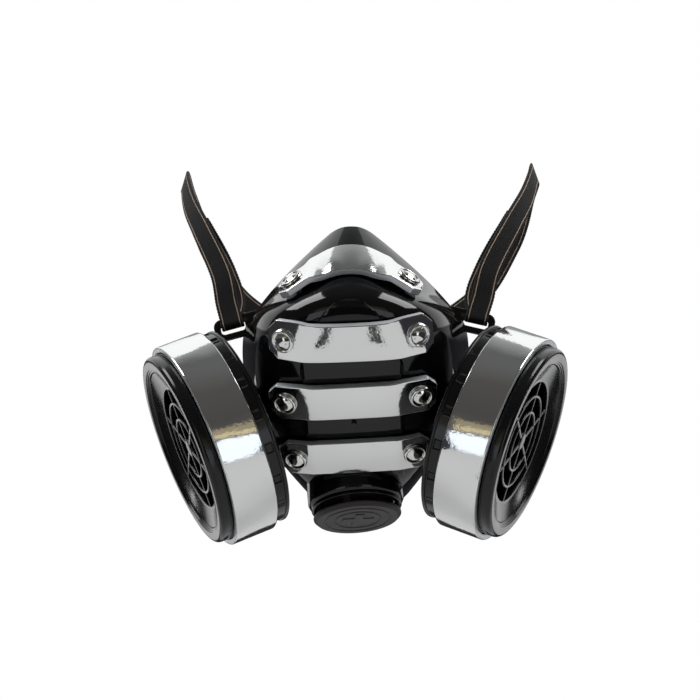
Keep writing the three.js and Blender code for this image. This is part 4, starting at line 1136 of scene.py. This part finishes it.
# %% The route
STRAP_HALF_SPAN, STRAP_DEPTH, STRAP_RISE, STRAP_SWAY, STRAP_SEWN = 84.5, 145.0, 68.0, 3.0, 0.34
STRAP_ROUTE = np.array([
    # near wide  back    up    acrossX acrossY acrossZ
    [1.04, 0.00, -0.005, 0.12, 0.97, 0.02, -0.24],
    [1.09, 0.00, 0.010, 0.31, 0.95, 0.16, -0.28],
    [0.60, 0.46, 0.069, 0.63, 0.82, 0.46, -0.36],
    [0.25, 0.78, 0.138, 0.82, 0.60, 0.66, -0.46],
    [0.00, 1.00, 0.241, 1.00, 0.30, 0.72, -0.62],
    [0.00, 0.99, 0.400, 0.90, 0.06, 0.52, -0.85],
    [0.00, 0.90, 0.600, 0.53, -0.02, 0.56, -0.83],
    [0.00, 0.71, 0.810, 0.15, 0.00, 0.45, -0.89],
    [0.00, 0.39, 0.950, -0.07, 0.00, 0.20, -0.98],
    [0.00, 0.00, 1.000, -0.13, 0.00, 0.00, -1.00],
])
STRAP_RETURN = np.array([
    [0.99, 0.00, 0.045, 0.13, 0.97, 0.02, -0.24],
    [0.98, 0.06, 0.080, 0.32, 0.95, 0.16, -0.28],
    [0.55, 0.46, 0.118, 0.58, 0.82, 0.46, -0.36],
])
FOLD_GAP, FOLD_STEPS = 0.3, 24
FOLD_RADIUS = LUG_THICKNESS / 2 + FOLD_GAP + STRAP_THICKNESS / 2
SEWN_GAP = 0.6
UP_STEPS, DOWN_STEPS, STRAP_STEP = 320, 90, 0.4


def catmull_rom(points, t):
    """A curve through the points whose tangents weigh neighbours by the root of their distance."""
    p = np.concatenate([[2 * points[0] - points[1]], points, [2 * points[-1] - points[-2]]])
    position = np.clip(t, 0, 1) * (len(points) - 1)
    i = np.minimum(position.astype(int), len(points) - 2)
    w = (position - i)[:, None]
    p0, p1, p2, p3 = (p[i + k] for k in range(4))
    d0, d1, d2 = (np.sqrt(np.linalg.norm(b - a, axis=1))[:, None] for a, b in
                  ((p0, p1), (p1, p2), (p2, p3)))
    t1 = ((p1 - p0) / d0 - (p2 - p0) / (d0 + d1) + (p2 - p1) / d1) * d1
    t2 = ((p2 - p1) / d1 - (p3 - p1) / (d1 + d2) + (p3 - p2) / d2) * d1
    return p1 + t1 * w + (3 * (p2 - p1) - 2 * t1 - t2) * w ** 2 + (2 * (p1 - p2) + t1 + t2) * w ** 3


def route_rows(table):
    """Middle points and across directions, from the shares in a table."""
    near, wide, back, up = table[:, :4].T
    middle = np.stack([near * LUG_ACROSS + wide * STRAP_HALF_SPAN, LUG_BACK + back * STRAP_DEPTH,
                       -LUG_BELOW + up * STRAP_RISE], axis=-1)
    return np.concatenate([middle, table[:, 4:]], axis=1)


def fold_rows():
    """Down behind the bar, half a circle through the slot and up in front of the bar."""
    angle = np.linspace(0, np.pi, FOLD_STEPS + 1)
    over_bar = LUG_BAR / 2 + FOLD_GAP
    y = np.concatenate([[over_bar], -LUG_BAR / 2 - FOLD_RADIUS * np.sin(angle), [over_bar]])
    z = np.concatenate([[-FOLD_RADIUS], -FOLD_RADIUS * np.cos(angle), [FOLD_RADIUS]])
    where = lug_frame(1)
    middle = place(np.stack([0 * y, y, z], axis=-1), where) / MM
    return np.concatenate([middle, np.broadcast_to(where[1][0], middle.shape)], axis=1)


def strap_rows():
    """The doubled end, the fold and the long way round to the nape, then the same mirrored."""
    fold = fold_rows()
    up = np.concatenate([fold[-1:], route_rows(STRAP_ROUTE)])
    up = catmull_rom(up, np.linspace(0, 1, UP_STEPS))
    sewn = up[round(STRAP_SEWN * (UP_STEPS - 1))].copy()
    side = unit(np.array([-1, 1, -0.5]))
    sewn[:3] += side * (STRAP_THICKNESS + SEWN_GAP)
    down = np.concatenate([sewn[None], route_rows(STRAP_RETURN)[::-1], fold[:1]])
    down = catmull_rom(down, np.linspace(0, 1, DOWN_STEPS))
    right = np.concatenate([down[:-1], fold[:-1], up])
    left = right[-2::-1] * [-1, 1, 1, 1, -1, -1]
    rows = np.concatenate([right, left])
    free = 1 - np.minimum(np.abs(rows[:, 0]) / LUG_ACROSS, 1)
    lifted = np.minimum((rows[:, 2] + LUG_BELOW) / STRAP_RISE, 1)
    rows[:, 0] += STRAP_SWAY * np.maximum(np.maximum(free, lifted), 0)
    return rows


def even_rows(rows, step):
    """The same route with its rows an even step apart."""
    length = np.concatenate([[0], np.cumsum(np.linalg.norm(np.diff(rows[:, :3], axis=0), axis=1))])
    even = np.linspace(0, length[-1], round(length[-1] / step) + 1)
    return even, np.stack([np.interp(even, length, column) for column in rows.T], axis=-1)


strap_run, strap_route = even_rows(strap_rows(), STRAP_STEP)
print("strap length in mm:", round(float(strap_run[-1])))

# %% [markdown]
# ## The finish of the elastic
# Elastic is woven: lengthwise cords pass over and under fine crosswise threads. Real threads would
# need millions of faces, so the weave is painted. The band's UV map holds millimetres along and
# across it. Sines of those two numbers make the cords and the threads, for the bump and for the
# colour, and two narrow stripes near the edges make the cream lines.

# %% The elastic's material
PICOT_PITCH, PICOT_DEPTH = 1.5, 0.25
CORD_PITCH, THREAD_PITCH = 0.75, 0.55
CREAM_LINE_AT, CREAM_LINE_HALF = 3.9, 0.22


def math_node(tree, operation, *values):
    """A Math node whose inputs are sockets or numbers."""
    node = tree.nodes.new("ShaderNodeMath")
    node.operation = operation
    for k, value in enumerate(values):
        if isinstance(value, (int, float)):
            node.inputs[k].default_value = value
        else:
            link(tree, value, node.inputs[k])
    return node.outputs[0]


def woven_elastic():
    """Black cords and threads, and a cream line of stitches near each edge."""
    material = bpy.data.materials.new("woven_elastic")
    material.use_nodes = True
    tree = material.node_tree
    shader = tree.nodes["Principled BSDF"]
    uv = tree.nodes.new("ShaderNodeUVMap")
    uv.uv_map = "UVMap"
    split = tree.nodes.new("ShaderNodeSeparateXYZ")
    link(tree, uv.outputs["UV"], split.inputs["Vector"])
    run, across = split.outputs["X"], split.outputs["Y"]
    cords = math_node(tree, "SINE", math_node(tree, "MULTIPLY", across, 2 * math.pi / CORD_PITCH))
    threads = math_node(tree, "SINE", math_node(tree, "MULTIPLY", run, 2 * math.pi / THREAD_PITCH))
    weave = math_node(tree, "MULTIPLY_ADD", cords, 0.35, 0.5)
    weave = math_node(tree, "MULTIPLY_ADD", math_node(tree, "MULTIPLY", cords, threads), 0.15, weave)
    from_line = math_node(tree, "SUBTRACT", math_node(tree, "ABSOLUTE", across), CREAM_LINE_AT)
    on_line = math_node(tree, "LESS_THAN", math_node(tree, "ABSOLUTE", from_line), CREAM_LINE_HALF)
    stitched = math_node(tree, "GREATER_THAN", threads, -0.75)
    black = tree.nodes.new("ShaderNodeMix")
    black.data_type = "RGBA"
    black.inputs["A"].default_value = (0.002, 0.0017, 0.0017, 1)
    black.inputs["B"].default_value = (0.011, 0.0088, 0.0085, 1)
    link(tree, weave, black.inputs["Factor"])
    cream = tree.nodes.new("ShaderNodeMix")
    cream.data_type = "RGBA"
    link(tree, black.outputs["Result"], cream.inputs["A"])
    cream.inputs["B"].default_value = (0.62, 0.47, 0.36, 1)
    link(tree, math_node(tree, "MULTIPLY", on_line, stitched), cream.inputs["Factor"])
    link(tree, cream.outputs["Result"], shader.inputs["Base Color"])
    bump = tree.nodes.new("ShaderNodeBump")
    bump.inputs["Distance"].default_value = 0.0002
    bump.inputs["Strength"].default_value = 0.8
    link(tree, weave, bump.inputs["Height"])
    link(tree, bump.outputs["Normal"], shader.inputs["Normal"])
    shader.inputs["Roughness"].default_value = 0.8
    shader.inputs["Sheen Weight"].default_value = 0.04
    shader.inputs["Sheen Roughness"].default_value = 0.5
    return material


elastic = woven_elastic()

# %% The band itself
def head_strap():
    """A flat section with round edges, whose half width swells at each picot of the edge."""
    middle, across = strap_route[:, :3], strap_route[:, 3:]
    along = unit(np.gradient(middle, axis=0))
    out = unit(np.cross(along, across))
    across = np.cross(out, along)
    picot = PICOT_DEPTH * np.abs(np.sin(np.pi * strap_run / PICOT_PITCH))
    half = STRAP_WIDTH / 2 - 0.15 + picot
    soft = np.full(len(half), STRAP_THICKNESS / 2 * 0.9)
    ring = bar_ring(half, np.full(len(half), STRAP_THICKNESS), soft)
    ring[..., 1] -= STRAP_THICKNESS / 2
    grid = middle[:, None] + ring[..., :1] * across[:, None] + ring[..., 1:] * out[:, None]
    points, quads, fans = capped_tube(grid)
    uv = np.stack([np.broadcast_to(strap_run[:, None], grid.shape[:2]), ring[..., 0]], axis=-1)
    uv = np.concatenate([uv.reshape(-1, 2), [[0, 0], [strap_run[-1], 0]]])
    return make_piece("woven_strap", points * MM, quads, [elastic], ["head_strap"],
                      triangles=fans, uv=uv)


woven_strap = head_strap()

# %% [markdown]
# ## Studio
# Polished black and chrome show little of their own: what is seen in them is the room. A mirror
# strip that faces down shows the table, and one that faces forward shows whatever stands round
# the camera. So the studio is built for its reflections. A pale table fills the strips, and two
# dark cards on it, which only mirrors see, put dark stripes into the upper one. Softboxes and
# tall boards at the sides light the cheeks, and low boards and small rim lamps light the covers
# of the canisters. Windows and warm lamps in front colour the bands. The room itself is dim in
# front and paler behind. The dim parts matter most: they keep the black shell dark and give the
# chrome its dark bands.

# %% Table and cards
TABLE_TOP = -0.25
TABLE_X, TABLE_Y, TABLE_DROOP = (-0.34, 0.34), (-0.48, 0.18), 0.02
DROOP_START = 0.08
CARD_X = {"dark_card_left": (-0.064, -0.043), "dark_card_right": (0.024, 0.044)}
CARD_Y, CARD_LIFT = (-0.25, -0.15), 0.001
PALE, DARK = 0.55, 0.01
SHEET_ROWS, SHEET_COLUMNS = 20, 9


def studio_sheet(name, x_range, y_range, top, shade, droop=0.0):
    """A matte sheet that lies flat. Its front edge may hang a little."""
    x = np.linspace(*x_range, SHEET_COLUMNS)
    y = np.linspace(*y_range, SHEET_ROWS)
    z = top - droop * np.clip((y_range[0] + DROOP_START - y) / DROOP_START, 0, 1) ** 2
    grid = np.stack(np.broadcast_arrays(x[None, :], y[:, None], z[:, None]), axis=-1)
    material = bpy.data.materials.new(name)
    material.use_nodes = True
    shader = material.node_tree.nodes["Principled BSDF"]
    shader.inputs["Base Color"].default_value = (shade, shade, shade, 1)
    shader.inputs["Roughness"].default_value = 0.9
    mesh = bpy.data.meshes.new(name)
    faces = grid_faces(SHEET_ROWS, SHEET_COLUMNS)
    mesh.from_pydata(grid.reshape(-1, 3).tolist(), [], faces.tolist())
    mesh.polygons.foreach_set("use_smooth", np.ones(len(mesh.polygons), bool))
    mesh.materials.append(material)
    sheet = bpy.data.objects.new(name, mesh)
    bpy.context.scene.collection.objects.link(sheet)
    return sheet


studio_sheet("studio_table", TABLE_X, TABLE_Y, TABLE_TOP, PALE, droop=TABLE_DROOP)
for name, x_range in CARD_X.items():
    card = studio_sheet(name, x_range, CARD_Y, TABLE_TOP + CARD_LIFT, DARK)
    card.visible_camera = card.visible_shadow = card.visible_diffuse = False

# %% Lights
LAMP_DISTANCE = 1.2
CHEEK, COVER, BAND = (0.04, 0.0, -0.05), (0.11, -0.02, -0.10), (0.07, -0.05, -0.12)
WHITE, BLUE_WHITE, WARM, AMBER = (1, 1, 1), (0.86, 0.92, 1), (1, 0.86, 0.48), (1, 0.82, 0.46)
SIDE_LIGHTS = [
    # For the right side, mirrored for the left. Windows and lamps in front stand across the middle.
    # name, azimuth, elevation, what it looks at, width, height, brightness, colour
    ("softbox", 86, 50, CHEEK, 0.66, 0.66, 6.5, WHITE),
    ("board", 36, 32, CHEEK, 0.95, 1.20, 0.7, WHITE),
    ("low_board", 29, -12, COVER, 0.40, 0.40, 1.2, WHITE),
    ("rim_lamp", 55, -8.5, COVER, 0.09, 0.07, 8.0, WHITE),
    ("window", -146, -7, BAND, 0.45, 0.42, 1.3, BLUE_WHITE),
    ("warm_lamp", -152, 7.5, BAND, 0.50, 0.09, 0.60, WARM),
    ("amber_lamp", -153, 13, BAND, 0.50, 0.13, 0.25, AMBER),
]


def stand_point(azimuth, elevation, start):
    """A lamp's place seen from the start. The azimuth is measured from straight behind the mask."""
    azimuth, elevation = math.radians(azimuth), math.radians(elevation)
    step = Vector((math.sin(azimuth) * math.cos(elevation), math.cos(azimuth) * math.cos(elevation),
                   math.sin(elevation)))
    return Vector(start) + LAMP_DISTANCE * step


def soft_light(name, azimuth, elevation, start, width, height, brightness, colour, mirrored=True):
    """A rectangular light that looks at the start, as bright in a mirror as its brightness says."""
    data = bpy.data.lights.new(name, "AREA")
    data.shape = "RECTANGLE"
    data.size, data.size_y = width, height
    data.energy = math.pi * width * height * brightness
    data.color = colour
    lamp = bpy.data.objects.new(name, data)
    lamp.visible_glossy = mirrored
    lamp.visible_camera = False
    lamp.location = stand_point(azimuth, elevation, start)
    direction = Vector(start) - lamp.location
    lamp.rotation_euler = direction.to_track_quat("-Z", "Y").to_euler()
    bpy.context.scene.collection.objects.link(lamp)


soft_light("ceiling_softbox", 160, 74, (0, -0.10, -0.20), 0.9, 0.7, 2.0, WHITE, mirrored=False)
for side, sign in SIDES.items():
    for name, azimuth, elevation, (x, y, z), *size_and_look in SIDE_LIGHTS:
        soft_light(f"{name}_{side}", sign * azimuth, elevation, (sign * x, y, z), *size_and_look)

# %% The room
ROOM_FRONT = [
    # share of the height, colour
    (0.46, (0.03, 0.03, 0.034)), (0.52, (0.11, 0.10, 0.092)), (0.70, (0.075, 0.072, 0.07)),
    (0.92, (0.09, 0.085, 0.08)), (1.00, (0.13, 0.13, 0.13)),
]
ROOM_BEHIND = [
    (0.505, (0.03, 0.03, 0.034)), (0.52, (0.27, 0.28, 0.28)), (0.65, (0.30, 0.31, 0.31)),
    (0.80, (0.42, 0.43, 0.43)), (0.92, (0.42, 0.43, 0.43)), (0.975, (0.24, 0.24, 0.24)),
    (0.995, (0.13, 0.13, 0.13)),
]
BEHIND_FROM, BEHIND_FULLY = 0.50, 0.85


def shade_ramp(tree, factor, stops):
    """A colour ramp from a list of positions and colours."""
    ramp = tree.nodes.new("ShaderNodeValToRGB")
    shade = ramp.color_ramp
    shade.elements[0].position, shade.elements[0].color = stops[0][0], (*stops[0][1], 1)
    shade.elements[1].position, shade.elements[1].color = stops[-1][0], (*stops[-1][1], 1)
    for position, colour in stops[1:-1]:
        shade.elements.new(position).color = (*colour, 1)
    link(tree, factor, ramp.inputs["Fac"])
    return ramp.outputs["Color"]


def mixed(tree, factor, first, second):
    """A colour mix of two sockets or of a socket and a fixed colour."""
    mix = tree.nodes.new("ShaderNodeMix")
    mix.data_type = "RGBA"
    link(tree, factor, mix.inputs["Factor"])
    link(tree, first, mix.inputs["A"])
    if isinstance(second, tuple):
        mix.inputs["B"].default_value = second
    else:
        link(tree, second, mix.inputs["B"])
    return mix.outputs["Result"]


def studio_world():
    """White to the camera. In reflections a dark room in front and a paler backdrop behind."""
    world = bpy.data.worlds.new("studio_room")
    world.use_nodes = True
    tree = world.node_tree
    place_node = tree.nodes.new("ShaderNodeTexCoord")
    split = tree.nodes.new("ShaderNodeSeparateXYZ")
    link(tree, place_node.outputs["Generated"], split.inputs["Vector"])
    x, y, z = split.outputs["X"], split.outputs["Y"], split.outputs["Z"]
    height = math_node(tree, "MULTIPLY_ADD", z, 0.5, 0.5)
    front = shade_ramp(tree, height, ROOM_FRONT)
    behind = shade_ramp(tree, height, ROOM_BEHIND)
    level = math_node(tree, "SQRT", math_node(tree, "MULTIPLY_ADD", x, x,
                                              math_node(tree, "MULTIPLY", y, y)))
    backward = math_node(tree, "DIVIDE", y, math_node(tree, "MAXIMUM", level, 0.001))
    share = tree.nodes.new("ShaderNodeMapRange")
    share.interpolation_type = "SMOOTHSTEP"
    share.inputs["From Min"].default_value = BEHIND_FROM
    share.inputs["From Max"].default_value = BEHIND_FULLY
    link(tree, backward, share.inputs["Value"])
    room = mixed(tree, share.outputs["Result"], front, behind)
    seen = tree.nodes.new("ShaderNodeLightPath").outputs["Is Camera Ray"]
    link(tree, mixed(tree, seen, room, (1, 1, 1, 1)), tree.nodes["Background"].inputs["Color"])
    bpy.context.scene.world = world


studio_world()
bpy.context.scene.view_settings.view_transform = "Standard"

# %% [markdown]
# ## Camera
# The camera stands almost straight in front, one metre away, and is rolled by about a degree,
# which was fitted by laying the solids' edges over the photograph.

# %% The camera
CAMERA_AT = (25.9, -994.7, -56.0)
CAMERA_LOOKS_AT = (-1.24, -5.03, -56.03)
CAMERA_ROLL = math.radians(1.2)
FOCAL_PIXELS, IMAGE_PIXELS = 2200, 700
SENSOR_WIDTH = 36


def photo_camera():
    """A long lens, rolled by turning it round its own line of sight."""
    data = bpy.data.cameras.new("photo_camera")
    data.sensor_width = SENSOR_WIDTH
    data.lens = data.sensor_width * FOCAL_PIXELS / IMAGE_PIXELS
    data.clip_start = 0.05
    camera = bpy.data.objects.new("photo_camera", data)
    camera.location = Vector(CAMERA_AT) * MM
    direction = Vector(CAMERA_LOOKS_AT) - Vector(CAMERA_AT)
    look = direction.to_track_quat("-Z", "Y") @ Quaternion((0, 0, 1), -CAMERA_ROLL)
    camera.rotation_euler = look.to_euler()
    bpy.context.scene.collection.objects.link(camera)
    bpy.context.scene.camera = camera


photo_camera()
